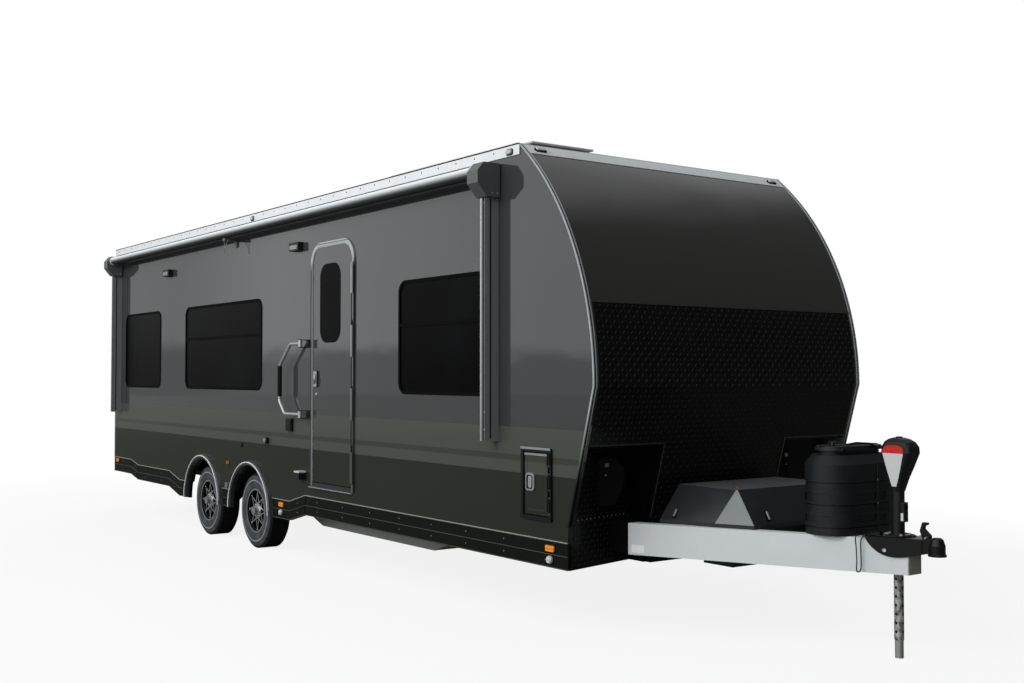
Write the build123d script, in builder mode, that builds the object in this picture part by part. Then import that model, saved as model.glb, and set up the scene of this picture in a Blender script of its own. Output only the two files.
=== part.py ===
from build123d import *
from math import acos, atan2, cos, degrees, pi, sin, sqrt, tan
import os

# A toy hauler travel trailer, in millimetres. +X points forward to the coupler, -Y is the curb
# side with the entry door, +Z is up. The origin is the foot of the tongue jack on the ground.

# Body
body_width = 2570
body_length = 9090
body_front = -1536          # lower front corner of the side walls
wall = 45                   # side walls, nose and roof
roof_top = 3235
knee_z = 1606               # where the rounded cap meets the sloped rock guard
nose_reach = 260            # the knee ahead of the lower front corner
cap_radius = 2104
guard_top = 2140            # seam between nose panel and rock guard
floor_bottom = 710
floor_thickness = 25
skin_gap = 1                # between panels that lie edge to edge

half = body_width / 2
inner = half - wall
body_rear = body_front - body_length
middle = -body_length / 2
floor_top = floor_bottom + floor_thickness
knee_x = body_front + nose_reach
cap_centre = (knee_x - cap_radius, knee_z)
cap_rise = degrees(atan2(roof_top - knee_z, sqrt(cap_radius**2 - (roof_top - knee_z) ** 2)))
guard_rise = degrees(atan2(guard_top - knee_z, sqrt(cap_radius**2 - (guard_top - knee_z) ** 2)))

# Side sill, with a dip round the axles and a rise at the tail
sill_top = 600
sill_height = 170
sill_dip = 78
sill_tail_rise = 52
sill_thickness = 32
dip_front = middle + 805    # the places are measured back from the lower front corner
dip_ramp = 320
dip_rear = middle - 2605
tail_ramp = (890 - body_length, 640 - body_length)

# Wheels and axles
axle_places = (middle - 355, middle - 1555)
wheel_z = 360
tyre_radius = 360
tyre_width = 222
tyre_face = 1252            # outer face of the tyre from the centreline
rim_radius = 205
hub_bore = 32.5
spindle_clearance = 0.5
hub_cap_radius = 42
hub_cap_reach = 18
star_points = 8             # the spokes meet in pairs at the rim and again at the hub
star_outer = (192, 96)      # radius at a point and between two points
star_inner = (160, 76)
star_boss = 11
arch_radius = 440
flare_radius = 490
flare_reach = 50
well_width = 330
well_top = 835
skirt_low = 480             # inner panel of the well, behind the tyres
axle_tube = 76
axle_tube_z = 430
arm_length = 150

# Chassis
beam_top = floor_bottom
beam_height = 205
beam_wall = 6
rail_outer = 800
rail_width = 90
tongue_rear_x = 70          # ends of the slanting beams, ahead of the lower front corner
tongue_rear_y = 838
tongue_front_x = 1645
tongue_front_y = 62
tongue_width = 76
cross_height = 100
cross_width = 50
cross_count = 14

# Front corner recesses
recess_top = 1225
recess_inner = 600
recess_front_x = -40        # outer end of the back panel
recess_back_x = -190        # inner end of the back panel
recess_plate = 20
recess_bottom = 420

# Windows: place of the middle, width, has a divider
window_low = 1525
window_high = 2410
window_corner = 100
window_divider = 2060
window_rim = 26
window_proud = 6
windows = (
    (1018 - body_length, 1232, False),
    (middle - 1137, 2002, True),
    (-1515, 1200, True),
)

# Entry door
door_rear = -3630
door_front = -2830
door_low = 700
door_high = 2830
door_corner = 190
door_trim = 34
door_proud = 12
door_gap = 6
door_thickness = 40
slab_proud = 4
side_hinge_radius = 6
pane_gap = 0.3
door_window = (door_rear + 173, door_front - 248, 1953, 2638)
door_window_corner = 120
lock_size = (66, 16, 140)
lock_z = 1640

# Baggage doors
bag_rear = -488
bag_front = -158
bag_low = 722
bag_high = 1196
bag_trim = 28
bag_proud = 14
bag_thickness = 34
bag_corner = 12
least_corner = 4

# Fold away grab handle, beside the entry door
handle_x = door_rear - 60
handle_low = 1325
handle_high = 1952
handle_reach = 420
handle_stand = 80
handle_tube = 28
pivot_height = 60

# Awning
roller_radius = 45
roller_z = 3078
roller_y = 1405
awning_arm_places = (195 - body_length, -800)
cradle_place = middle - 755
cradle_width = 60
arm_bottom = 1220
arm_width = 70
arm_depth = 103
head_low = 2900
head_high = 3135
head_width = 130
head_reach = 195            # from the wall outwards

# Roof
trim_height = 75
trim_thickness = 8
conditioner_place = -2100
conditioner_size = (900, 660, 290)
solar_size = (1760, 640, 35)
solar_edge = 1100           # outer edge of the panels from the centreline
solar_panels = ((-3610, 52), (-1690, 80))     # place of the middle, height of the top over the roof
vent_places = (middle + 645, middle - 2355)
vent_size = 380
vent_base_height = 45
vent_lid_height = 60

# Rear
post_width = 110
header_height = 190
ramp_thickness = 60
ramp_low = 705
ramp_hinge_radius = 14
bar_y = 1060                # lock bars, from the centreline
bar_radius = 11
bar_stand = 18
bar_low = 790
bar_high = 2700
bar_handle = 150
bar_handle_z = 1330
tail_lamp_size = (50, 260)
tail_lamp_z = 1150
tail_lamp_reach = 18
marker_size = (90, 28)
marker_step = 150
marker_z = 3095

# Tongue equipment
tank_bottle_radius = 170
tank_spread = 155
tank_place = 1180
tank_height = 480
tank_cap_height = 52
tank_steps = (              # top of each band over the beams, and its inset
    (44, 6), (52, 13), (136, 0), (146, 4), (179, 8), (187, 15), (276, 0), (286, 4), (312, 8), (320, 15), (425, 3),
)
tank_pockets = ((79, 119), (204, 252))
tank_pocket_depth = 8
tank_neck = 84
tank_lid = 108
box_high = 950
box_foot = ((190, -668), (565, -546), (800, -441))
box_top = ((165, -470), (676, -470), (684, -462))
box_rim = 24
jack_radius = 28.5
leg_radius = 25
sleeve_radius = 38
sleeve_low = 728
tube_low = 107
switch_low = 806            # switch box on the front of the sleeve
switch_height = 116
switch_width = 38
switch_reach = 56
head_sections = (
    # height, length, width, shift forward, corner
    (985, 78, 78, 0, 34),
    (1060, 112, 92, 6, 30),
    (1140, 166, 110, 13, 30),
    (1215, 213, 124, 20, 32),
    (1250, 206, 122, 20, 32),
    (1278, 172, 108, 17, 32),
    (1295, 122, 86, 14, 32),
    (1303, 66, 60, 11, 28),
)
jack_place = -body_front
coupler_rear = 1430
plate_past = 71             # the side plates run on past the ends of the beams
plate_curve = (             # share of the side plate's length, drop of its lower edge
    (0, 6), (0.10, 48), (0.21, 77), (0.35, 97), (0.55, 105), (0.76, 97), (1, 76),
)
plate_hole = 13
coupler_plate = 10
housing_radius = 46
housing_low = 629
housing_high = 735
lever_width = 24
lever_outline = (           # from the ball's middle and the top of the beams
    (-88, 4), (-40, 4), (-42, 34), (-84, 70), (-80, 88), (-61, 94), (-61, 107), (-92, 107), (-109, 56),
)
ball_radius = 29.4
ball_depth = 40
ball_place = 1800

# Lead of the jack, and the two glands that it leaves and enters
gland_length = 38
gland_width = 28
gland_height = 22
gland_y = 80
gland_front = -62           # front face of the first gland, where the lead leaves it
gland_rear = -100           # rear face of the second gland, where the lead enters it
lead_radius = 3.5
lead_route = (
    (-62, 80, 731), (-34, 80, 731), (4, 91, 726), (46, 88, 723.8), (80, 60, 723.8), (97, 18, 723.8),
    (94, -28, 723.8), (66, -68, 723.8), (22, -95, 723.8), (-26, -110, 724), (-70, -128, 725), (-106, -160, 729),
    (-120, -193, 708), (-122, -196, 668), (-122, -192, 616), (-123, -190, 564), (-123, -191, 512),
    (-116, -244, 510), (-113, -243, 562), (-116, -240, 616), (-120, -240, 668), (-130, -234, 706),
    (-144, -206, 730), (-148, -166, 722), (-150, -128, 724), (-143, -98, 728), (-126, -80, 731), (-100, -80, 731),
)

# Side marker lights
lamp_reach = 12
side_lamps = (
    # place, height, length, height of the lens, what it stands on
    (-179, 553, 90, 40, 0),
    (dip_front - 486, 483, 90, 40, 0),
    (140 - body_length, 620, 90, 40, 0),
    (middle - 940, 794, 60, 30, 0),
    (-620, 3196, 62, 32, trim_thickness),
    (middle - 355, 3196, 62, 32, trim_thickness),
)

# Fittings on the curb wall
wall_fittings = (
    # place, height, length, height of the piece, reach
    (-3898, 2832, 190, 76, 52),         # porch lights
    (middle - 2642, 2820, 190, 76, 52),
    (-4048, 1221, 118, 118, 22),        # outlet cover
    (-4542, 1057, 60, 60, 26),          # water inlet
    (-3780, 784, 104, 76, 70),          # step handle box
    (middle - 923, 568, 50, 52, 30),    # connector box between the arches
)

# Belly pan
pan_low = 295
pan_high = 600
pan_rear = middle + 420
pan_front = -1846
pan_end_slope = 185
pan_half_width = 1010


def at(place):
    """A place along the body, measured from its lower front corner."""
    return body_front + place


def box_between(low, high, mode=Mode.ADD):
    """A box from its lowest to its highest corner."""
    middle = tuple((a + b) / 2 for a, b in zip(low, high))
    size = tuple(b - a for a, b in zip(low, high))
    with Locations(middle):
        Box(*size, mode=mode)


def prism(plane, points, depth, mode=Mode.ADD):
    """A closed outline on a plane, pulled along the plane's normal."""
    with BuildSketch(plane) as outline:
        with BuildLine():
            Polyline(*points, close=True)
        make_face()
    extrude(outline.sketch, amount=depth, mode=mode)


def side_plane(y):
    """A plane facing the curb side, with X to the right and Z up."""
    return Plane.XZ.offset(-y)


def body_outline():
    """Side view of the body as sketch lines: the rounded cap, the sloped guard and a flat roof."""
    roof_x = cap_centre[0] + sqrt(cap_radius**2 - (roof_top - knee_z) ** 2)
    CenterArc(cap_centre, cap_radius, 0, cap_rise)
    Polyline(
        (roof_x, roof_top),
        (body_rear, roof_top),
        (body_rear, sill_top),
        (at(0), sill_top),
        (at(5), floor_bottom - 3),
        (knee_x, knee_z),
    )


def sill_line(z):
    """The sill's stepped line at one level, from front to rear."""
    return [
        (at(0), z),
        (at(dip_front), z),
        (at(dip_front - dip_ramp), z - sill_dip),
        (at(dip_rear + dip_ramp), z - sill_dip),
        (at(dip_rear), z),
        (at(tail_ramp[0]), z),
        (at(tail_ramp[1]), z + sill_tail_rise),
        (body_rear, z + sill_tail_rise),
    ]


def rounded_cut(x0, x1, z0, z1, radius, y, depth, mode=Mode.SUBTRACT, square_foot=False):
    """A rounded rectangle in the side view, cut or added through a depth from y inwards."""
    with BuildSketch(side_plane(y)) as outline:
        with Locations(((x0 + x1) / 2, (z0 + z1) / 2)):
            RectangleRounded(x1 - x0, z1 - z0, radius)
        if square_foot:
            with Locations(((x0 + x1) / 2, z0 + radius)):
                Rectangle(x1 - x0, 2 * radius)
    extrude(outline.sketch, amount=depth, mode=mode)


def side_wall(y_outer, y_inner, openings):
    """One side wall with its wheel arches, windows and doors cut."""
    top = max(y_outer, y_inner)
    depth = abs(y_outer - y_inner)
    with BuildPart() as panel:
        with BuildSketch(side_plane(top)):
            with BuildLine():
                body_outline()
            make_face()
            with Locations(*[(at(place), wheel_z) for place in axle_places]):
                Circle(arch_radius, mode=Mode.SUBTRACT)
        extrude(amount=depth)
        prism(side_plane(top), sill_line(sill_top)[1:5], depth)
        prism(
            side_plane(top),
            [(body_rear, sill_top), *sill_line(sill_top)[5:]],
            depth,
            Mode.SUBTRACT,
        )
        with Locations(*[(at(place), (y_outer + y_inner) / 2, wheel_z) for place in axle_places]):
            Cylinder(arch_radius, depth + 2, rotation=(90, 0, 0), mode=Mode.SUBTRACT)
        for x0, x1, z0, z1, radius, square_foot in openings:
            rounded_cut(at(x0), at(x1), z0, z1, radius, top, depth, square_foot=square_foot)
    return panel.part


window_openings = [
    (middle - width / 2, middle + width / 2, window_low, window_high, window_corner, False)
    for middle, width, divider in windows
]
door_opening = (door_rear + door_trim / 2, door_front - door_trim / 2, door_low + door_trim / 2,
                door_high - door_trim / 2, door_corner - door_trim / 2, True)
bag_opening = (bag_rear + bag_trim / 2, bag_front - bag_trim / 2, bag_low + bag_trim / 2,
               bag_high - bag_trim / 2, least_corner, False)

finished = []


def finish(part, name):
    part.label = name
    finished.append((name, part))


def mirrored(part):
    """The same piece on the street side."""
    return part.mirror(Plane.XZ)


# Side walls
finish(side_wall(-half, -inner, [*window_openings, door_opening, bag_opening]), "side_wall_curb")
finish(side_wall(half, inner, [*window_openings, bag_opening]), "side_wall_street")

# Nose panel: the upper part of the rounded cap, between the side walls
with BuildPart() as nose_panel:
    with BuildSketch(side_plane(inner)):
        with BuildLine():
            outer = CenterArc(cap_centre, cap_radius, guard_rise, cap_rise - guard_rise)
            inner_rise = degrees(atan2(roof_top - wall - knee_z,
                                       sqrt((cap_radius - wall)**2 - (roof_top - wall - knee_z)**2)))
            back = CenterArc(cap_centre, cap_radius - wall, guard_rise, inner_rise - guard_rise)
            Line(outer @ 0, back @ 0)
            Line(outer @ 1, back @ 1)
        make_face()
    extrude(amount=2 * inner)
finish(nose_panel.part, "nose_panel")

# Rock guard: the rest of the cap and the slope under it, with the lower corners cut away
with BuildPart() as rock_guard:
    with BuildSketch(side_plane(inner)):
        with BuildLine():
            outer = CenterArc(cap_centre, cap_radius, 0, guard_rise - 0.02)
            back = CenterArc(cap_centre, cap_radius - wall, 0, guard_rise - 0.02)
            Line(outer @ 1, back @ 1)
            Polyline(
                outer @ 0,
                (at(5), floor_bottom - 3),
                (at(0), recess_bottom),
                (at(0) - wall, recess_bottom),
                (at(5) - wall, floor_bottom - 3),
                back @ 0,
            )
        make_face()
    extrude(amount=2 * inner)
    for side in (-1, 1):
        low_y, high_y = sorted((side * (recess_inner - recess_plate), side * (inner + 1)))
        box_between((at(-200), low_y, recess_bottom - 1),
                    (at(nose_reach + 10), high_y, recess_top), Mode.SUBTRACT)
finish(rock_guard.part, "rock_guard")


# Corner recesses: a receding back panel, a shelf over it and an inner cheek
def guard_x(z):
    """The slope's place at one height."""
    foot_z = floor_bottom - 3
    return at(5) + (nose_reach - 5) * (z - foot_z) / (knee_z - foot_z)


def corner_recess():
    plan = [
        (at(recess_front_x), -inner),
        (at(recess_back_x), -recess_inner),
        (at(recess_back_x) - recess_plate, -recess_inner),
        (at(recess_front_x) - recess_plate, -inner),
    ]
    with BuildPart() as recess:
        prism(Plane.XY.offset(recess_bottom), plan, recess_top - recess_bottom)
        prism(
            Plane.XY.offset(recess_top - recess_plate),
            [plan[0], (guard_x(recess_top) - 30, -inner),
             (guard_x(recess_top) - 30, -recess_inner), plan[1]],
            recess_plate,
        )
        prism(
            side_plane(-recess_inner + recess_plate),
            [
                (at(recess_back_x) - recess_plate, recess_bottom),
                (at(0) - wall, recess_bottom),
                (at(5) - wall, floor_bottom - 3),
                (guard_x(recess_top) - wall, recess_top),
                (at(recess_back_x) - recess_plate, recess_top),
            ],
            recess_plate,
        )
        box_between(
            (at(recess_back_x) - 60, -rail_outer - 1, beam_top - beam_height - 1),
            (at(recess_front_x) + 10, -rail_outer + rail_width + 1, beam_top + 1),
            Mode.SUBTRACT,
        )
    return recess.part


recess_curb = corner_recess()
finish(Compound([recess_curb.solid(), mirrored(recess_curb).solid()]), "corner_recesses")


# Roof panel, with the two vent openings
roof_front = cap_centre[0] + sqrt(cap_radius**2 - (roof_top - knee_z) ** 2)
roof_front_under = cap_centre[0] + sqrt((cap_radius - wall) ** 2 - (roof_top - wall - knee_z) ** 2)
with BuildPart() as roof_panel:
    prism(
        side_plane(inner),
        [
            (body_rear, roof_top - wall),
            (body_rear, roof_top),
            (roof_front - skin_gap, roof_top),
            (roof_front_under - skin_gap, roof_top - wall),
        ],
        2 * inner,
    )
    with Locations(*[(at(place), 0, roof_top - wall / 2) for place in vent_places]):
        Box(vent_size - 40, vent_size - 40, wall + 2, mode=Mode.SUBTRACT)
finish(roof_panel.part, "roof_panel")

# Aluminium trim round the top edge
with BuildPart() as roof_trim:
    with BuildSketch(Plane.XY.offset(roof_top - trim_height + trim_thickness)):
        with BuildLine():
            Polyline(
                (body_rear, -half - trim_thickness),
                (roof_front, -half - trim_thickness),
                (roof_front, half + trim_thickness),
                (body_rear, half + trim_thickness),
                (body_rear, half),
                (roof_front - trim_thickness, half),
                (roof_front - trim_thickness, -half),
                (body_rear, -half),
                close=True,
            )
        make_face()
    extrude(amount=trim_height)
    box_between(
        (body_rear, -half, roof_top - trim_height),
        (roof_front + 1, half, roof_top),
        Mode.SUBTRACT,
    )
finish(roof_trim.part, "roof_trim")

# Side sills
sills = []
for side in (-1, 1):
    with BuildPart() as sill:
        prism(
            side_plane(max(side * half, side * (half - sill_thickness))),
            [*sill_line(sill_top), *reversed(sill_line(sill_top - sill_height))],
            sill_thickness,
        )
        with Locations(*[(at(place), side * half, wheel_z) for place in axle_places]):
            Cylinder(arch_radius, 4 * sill_thickness, rotation=(90, 0, 0), mode=Mode.SUBTRACT)
    sills += sill.part.solids()
finish(Compound(sills), "side_sills")

# Wheel wells inside the cabin, and the flares outside
well_front = at(axle_places[0]) + arch_radius + 20
well_rear = at(axle_places[-1]) - arch_radius - 20
well_wall = 6
wells = []
flares = []
for side in (-1, 1):
    with BuildPart() as well:
        low_y, high_y = sorted((side * (inner - well_width), side * inner))
        box_between((well_rear, low_y, floor_bottom), (well_front, high_y, well_top))
        low_y, high_y = sorted((side * (inner - well_width + well_wall), side * (inner + 1)))
        box_between(
            (well_rear + well_wall, low_y, floor_bottom - 1),
            (well_front - well_wall, high_y, well_top - well_wall),
            Mode.SUBTRACT,
        )
        low_y, high_y = sorted((side * (inner - well_width), side * (inner - well_width + well_wall)))
        box_between((well_rear, low_y, skirt_low), (well_front, high_y, floor_bottom + 1))
    wells.append(well.solid())
    for place in axle_places:
        with BuildPart() as flare:
            with BuildSketch(Plane.XY.offset(wheel_z)):
                with BuildLine():
                    Polyline(
                        (at(place) + arch_radius, side * half),
                        (at(place) + flare_radius, side * half),
                        (at(place) + flare_radius - 10, side * (half + flare_reach - 14)),
                        (at(place) + flare_radius - 24, side * (half + flare_reach)),
                        (at(place) + arch_radius + 8, side * (half + flare_reach)),
                        (at(place) + arch_radius, side * (half + flare_reach - 8)),
                        close=True,
                    )
                make_face()
            revolve(axis=Axis((at(place), 0, wheel_z), (0, -1, 0)), revolution_arc=180)
        flares.append(flare.solid())
finish(Compound(wells), "wheel_wells")
finish(Compound(flares), "wheel_flares")

# Floor deck
with BuildPart() as floor_deck:
    corner_x = at(recess_front_x) - recess_plate - 1
    notch_x = at(recess_back_x) - recess_plate - 1
    tip_y = recess_inner - recess_plate - 1
    prism(
        Plane.XY.offset(floor_bottom),
        [
            (body_rear + ramp_thickness + skin_gap, -inner),
            (corner_x, -inner),
            (notch_x, -recess_inner),
            (notch_x, -tip_y),
            (at(5) - wall - 1, -tip_y),
            (at(5) - wall - 1, tip_y),
            (notch_x, tip_y),
            (notch_x, recess_inner),
            (corner_x, inner),
            (body_rear + ramp_thickness + skin_gap, inner),
        ],
        floor_thickness,
    )
    for side in (-1, 1):
        low_y, high_y = sorted((side * (inner - well_width), side * inner))
        box_between(
            (well_rear, low_y, floor_bottom - 1),
            (well_front, high_y, floor_top + 1),
            Mode.SUBTRACT,
        )
finish(floor_deck.part, "floor_deck")

# Main rails, joined to the tongue beams at their front ends
rails = []
beams = []
slope = (tongue_rear_y - tongue_front_y) / (tongue_front_x - tongue_rear_x)
beam_skew = tongue_width * sqrt(1 + slope**2)
for side in (-1, 1):
    with BuildPart() as rail:
        low_y, high_y = sorted((side * rail_outer, side * (rail_outer - rail_width)))
        rail_rear = body_rear + ramp_thickness + skin_gap
        box_between((rail_rear, low_y, beam_top - beam_height), (at(tongue_rear_x), high_y, beam_top))
        low_y, high_y = sorted((side * (rail_outer - beam_wall), side * (rail_outer - rail_width + beam_wall)))
        box_between(
            (rail_rear - 1, low_y, beam_top - beam_height + beam_wall),
            (at(tongue_rear_x) + 1, high_y, beam_top - beam_wall),
            Mode.SUBTRACT,
        )
    rails.append(rail.solid())

    def beam_plan(inset, past):
        outer_rear = tongue_rear_y - inset * sqrt(1 + slope**2)
        inner_rear = outer_rear - beam_skew + 2 * inset * sqrt(1 + slope**2)
        meet = 1 + inset
        return [
            (at(tongue_rear_x - past), side * (outer_rear + slope * past)),
            (at(tongue_front_x), side * (outer_rear - slope * (tongue_front_x - tongue_rear_x))),
            (at(tongue_front_x), side * meet),
            (at(tongue_rear_x + (inner_rear - meet) / slope), side * meet),
            (at(tongue_rear_x - past), side * (inner_rear + slope * past)),
        ]

    with BuildPart() as beam:
        prism(Plane.XY.offset(beam_top - beam_height), beam_plan(0, 0), beam_height)
        prism(
            Plane.XY.offset(beam_top - beam_height + beam_wall),
            beam_plan(beam_wall, 1),
            beam_height - 2 * beam_wall,
            Mode.SUBTRACT,
        )
        with Locations((at(jack_place), 0, beam_top - beam_height / 2)):
            Cylinder(jack_radius + 0.5, beam_height + 2, mode=Mode.SUBTRACT)
    beams.append(beam.solid())
end_plate_half = tongue_front_y - slope * beam_wall - 0.5
with BuildPart() as tongue_beams:
    add(beams)
    box_between(
        (at(tongue_front_x) - 1, -end_plate_half, beam_top - beam_height),
        (at(tongue_front_x) + beam_wall, end_plate_half, beam_top),
    )
finish(Compound(rails), "main_rails")
finish(tongue_beams.part, "tongue_beams")

# Cross members and outriggers under the deck
crosses = []
cross_step = (body_length - 500) / (cross_count - 1)
for index in range(cross_count):
    x = at(-320) - index * cross_step
    spans = [(-rail_outer + rail_width, rail_outer - rail_width)]
    if not well_rear - cross_width < x < well_front + cross_width:
        reach = inner
        spans += [(-reach, -rail_outer), (rail_outer, reach)]
    for low_y, high_y in spans:
        with BuildPart() as cross:
            box_between(
                (x - cross_width / 2, low_y, floor_bottom - cross_height),
                (x + cross_width / 2, high_y, floor_bottom),
            )
            box_between(
                (x - cross_width / 2 + 5, low_y - 1, floor_bottom - cross_height + 8),
                (x + cross_width / 2 + 1, high_y + 1, floor_bottom - 8),
                Mode.SUBTRACT,
            )
        crosses.append(cross.solid())
finish(Compound(crosses), "cross_members")

# Belly pan under the tanks
with BuildPart() as belly_pan:
    prism(
        side_plane(pan_half_width),
        [
            (at(pan_rear), beam_top - beam_height),
            (at(pan_rear), pan_low + 59),
            (at(pan_rear + pan_end_slope), pan_low),
            (at(pan_front - pan_end_slope), pan_low),
            (at(pan_front), pan_low + 59),
            (at(pan_front), beam_top - beam_height),
        ],
        2 * pan_half_width,
    )
finish(belly_pan.part, "belly_pan")

# Torsion axles with their arms, spindles and brake plates
wheel_mid = tyre_face - tyre_width / 2
drum_inner = wheel_mid - 75
axles = []
for place in axle_places:
    tube_x = at(place) + arm_length
    with BuildPart() as axle:
        tube_half = 930
        box_between(
            (tube_x - axle_tube / 2, -tube_half, axle_tube_z - axle_tube / 2),
            (tube_x + axle_tube / 2, tube_half, axle_tube_z + axle_tube / 2),
        )
        for side in (-1, 1):
            low_y, high_y = sorted((side * rail_outer, side * (rail_outer - rail_width)))
            box_between(
                (tube_x - 70, low_y, axle_tube_z),
                (tube_x + 70, high_y, beam_top - beam_height),
            )
            with BuildSketch(side_plane(max(side * tube_half, side * (tube_half + 32)))):
                with Locations(((tube_x + at(place)) / 2, (axle_tube_z + wheel_z) / 2)):
                    tilt = degrees(atan2(axle_tube_z - wheel_z, arm_length))
                    SlotCenterToCenter(sqrt(arm_length**2 + (axle_tube_z - wheel_z) ** 2), 84, rotation=tilt)
            extrude(amount=32)
            spindle_low, spindle_high = sorted((side * tube_half, side * (wheel_mid + 60)))
            with Locations((at(place), (spindle_low + spindle_high) / 2, wheel_z)):
                Cylinder(hub_bore - spindle_clearance, spindle_high - spindle_low, rotation=(90, 0, 0))
            with Locations((at(place), side * (drum_inner - 14), wheel_z)):
                Cylinder(145, 14, rotation=(90, 0, 0))
    axles.append(axle.solid())
finish(Compound(axles), "axles")


# Wheels
def tyre(place, side):
    with BuildPart() as ring:
        with BuildSketch(Plane.YZ.offset(at(place))):
            with BuildLine():
                points = [
                    (rim_radius - 9, 90),
                    (rim_radius + 9, 96.5),
                    (rim_radius + 20, 108),
                    (tyre_radius - 85, tyre_width / 2),
                    (tyre_radius - 40, tyre_width / 2 - 4),
                    (tyre_radius - 12, tyre_width / 2 - 16),
                    (tyre_radius, tyre_width / 2 - 34),
                ]
                rows = points + [(r, -w) for r, w in reversed(points)]
                Polyline(*[(side * wheel_mid + w, wheel_z + r) for r, w in rows], close=True)
            make_face()
        revolve(axis=Axis((at(place), 0, wheel_z), (0, 1, 0)))
    return ring.part


def star_line(radii):
    """Corners of a star, its points and the corners between them in turn."""
    return [
        (radii[index % 2] * cos(index * pi / star_points), radii[index % 2] * sin(index * pi / star_points))
        for index in range(2 * star_points)
    ]


def rim(place, side):
    middle = (at(place), side * wheel_mid, wheel_z)
    outward = Plane(origin=middle, x_dir=(1, 0, 0), z_dir=(0, side, 0))
    with BuildPart() as wheel:
        with BuildSketch(Plane.YZ.offset(at(place))):
            with BuildLine():
                seat = rim_radius - 9.5
                points = [
                    (seat, -91),
                    (rim_radius + 8, -97),
                    (rim_radius + 8, -103),
                    (seat - 10, -103),
                    (seat - 10, 70),
                    (seat - 4, 103),
                    (rim_radius + 8, 103),
                    (rim_radius + 8, 97),
                    (seat, 91),
                ]
                Polyline(*[(side * (wheel_mid + w), wheel_z + r) for r, w in points], close=True)
            make_face()
        revolve(axis=Axis((at(place), 0, wheel_z), (0, 1, 0)))
        with BuildSketch(outward.offset(-75)):
            Circle(140)
        extrude(amount=60)
        with BuildSketch(outward.offset(-16)):
            Circle(72)
        extrude(amount=92)
        with BuildSketch(outward.offset(70)):
            Circle(hub_cap_radius)
        extrude(amount=tyre_face - wheel_mid + hub_cap_reach - 70, taper=4)
        with BuildSketch(outward.offset(58)):
            Polygon(*star_line(star_outer), align=None)
            Polygon(*star_line(star_inner), align=None, mode=Mode.SUBTRACT)
            Circle(star_inner[1] + 4)
            with PolarLocations(star_outer[0] - star_boss, star_points):
                Circle(star_boss)
        extrude(amount=26)
        with BuildSketch(outward.offset(-80)):
            Circle(hub_bore)
        extrude(amount=80 + 62, mode=Mode.SUBTRACT)
    return wheel.part


wheel_names = [
    (f"{row}_{label}", place, side)
    for row, place in zip(("front", "rear"), axle_places)
    for label, side in (("curb", -1), ("street", 1))
]
for label, place, side in wheel_names:
    finish(tyre(place, side), f"tyre_{label}")
    finish(rim(place, side), f"rim_{label}")

# Rear frame and ramp door
with BuildPart() as rear_frame:
    box_between((body_rear, -inner, sill_top), (body_rear + ramp_thickness, inner, roof_top - wall))
    box_between(
        (body_rear - 1, -half + post_width, ramp_low),
        (body_rear + ramp_thickness + 1, half - post_width, roof_top - wall - header_height),
        Mode.SUBTRACT,
    )

ramp_axis = (body_rear - ramp_hinge_radius, 0, ramp_low)
ramp_half = half - post_width - door_gap
ramp_high = roof_top - wall - header_height - door_gap
with BuildPart() as ramp_door:
    box_between(
        (body_rear, -ramp_half, ramp_low + door_gap),
        (body_rear + ramp_thickness - 10, ramp_half, ramp_high),
    )

# Ramp hinge: knuckles taken in turn by the frame and the ramp
knuckles = 14
knuckle_length = 2 * ramp_half / knuckles
for index in range(knuckles):
    y = -ramp_half + (index + 0.5) * knuckle_length
    low_y, high_y = y - knuckle_length / 2 + 0.25, y + knuckle_length / 2 - 0.25
    if index % 2:
        with ramp_door:
            with Locations((ramp_axis[0], y, ramp_axis[2])):
                Cylinder(ramp_hinge_radius - 2, knuckle_length - 0.5, rotation=(90, 0, 0))
            box_between((ramp_axis[0] - 4, low_y, ramp_low), (body_rear, high_y, ramp_low + 60))
    else:
        with rear_frame:
            with Locations((ramp_axis[0], y, ramp_axis[2])):
                Cylinder(ramp_hinge_radius - 2, knuckle_length - 0.5, rotation=(90, 0, 0))
            box_between((ramp_axis[0] - 4, low_y, ramp_low - 60), (body_rear, high_y, ramp_low))

# Lock bars on the ramp door, in brackets, each with a flat handle
with ramp_door:
    for side in (-1, 1):
        y = side * bar_y
        with Locations((body_rear - bar_stand, y, (bar_low + bar_high) / 2)):
            Cylinder(bar_radius, bar_high - bar_low)
        for share in (0.04, 0.35, 0.65, 0.96):
            z = bar_low + share * (bar_high - bar_low)
            box_between((body_rear - bar_stand - bar_radius - 3, y - 22, z - 25), (body_rear, y + 22, z + 25))
        low_y, high_y = sorted((y, y - side * bar_handle))
        box_between((body_rear - bar_stand - bar_radius, low_y, bar_handle_z),
                    (body_rear - bar_stand + bar_radius, high_y, bar_handle_z + 30))
finish(rear_frame.part, "rear_frame")
finish(ramp_door.part, "ramp_door")

# Tail lamps on the posts, and a row of marker lamps on the header
tail_lamps = []
post_middle = half - wall - (post_width - wall) / 2
lamp_places = [(side * post_middle, tail_lamp_z, tail_lamp_size) for side in (-1, 1)]
lamp_places += [(step * marker_step, marker_z, marker_size) for step in (-1, 0, 1)]
for y, z, (width, height) in lamp_places:
    with BuildPart() as tail_lamp:
        with BuildSketch(Plane.YZ.offset(body_rear)):
            with Locations((y, z)):
                RectangleRounded(width, height, 10)
        extrude(amount=-tail_lamp_reach)
    tail_lamps.append(tail_lamp.solid())
finish(Compound(tail_lamps), "rear_lamps")


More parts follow.
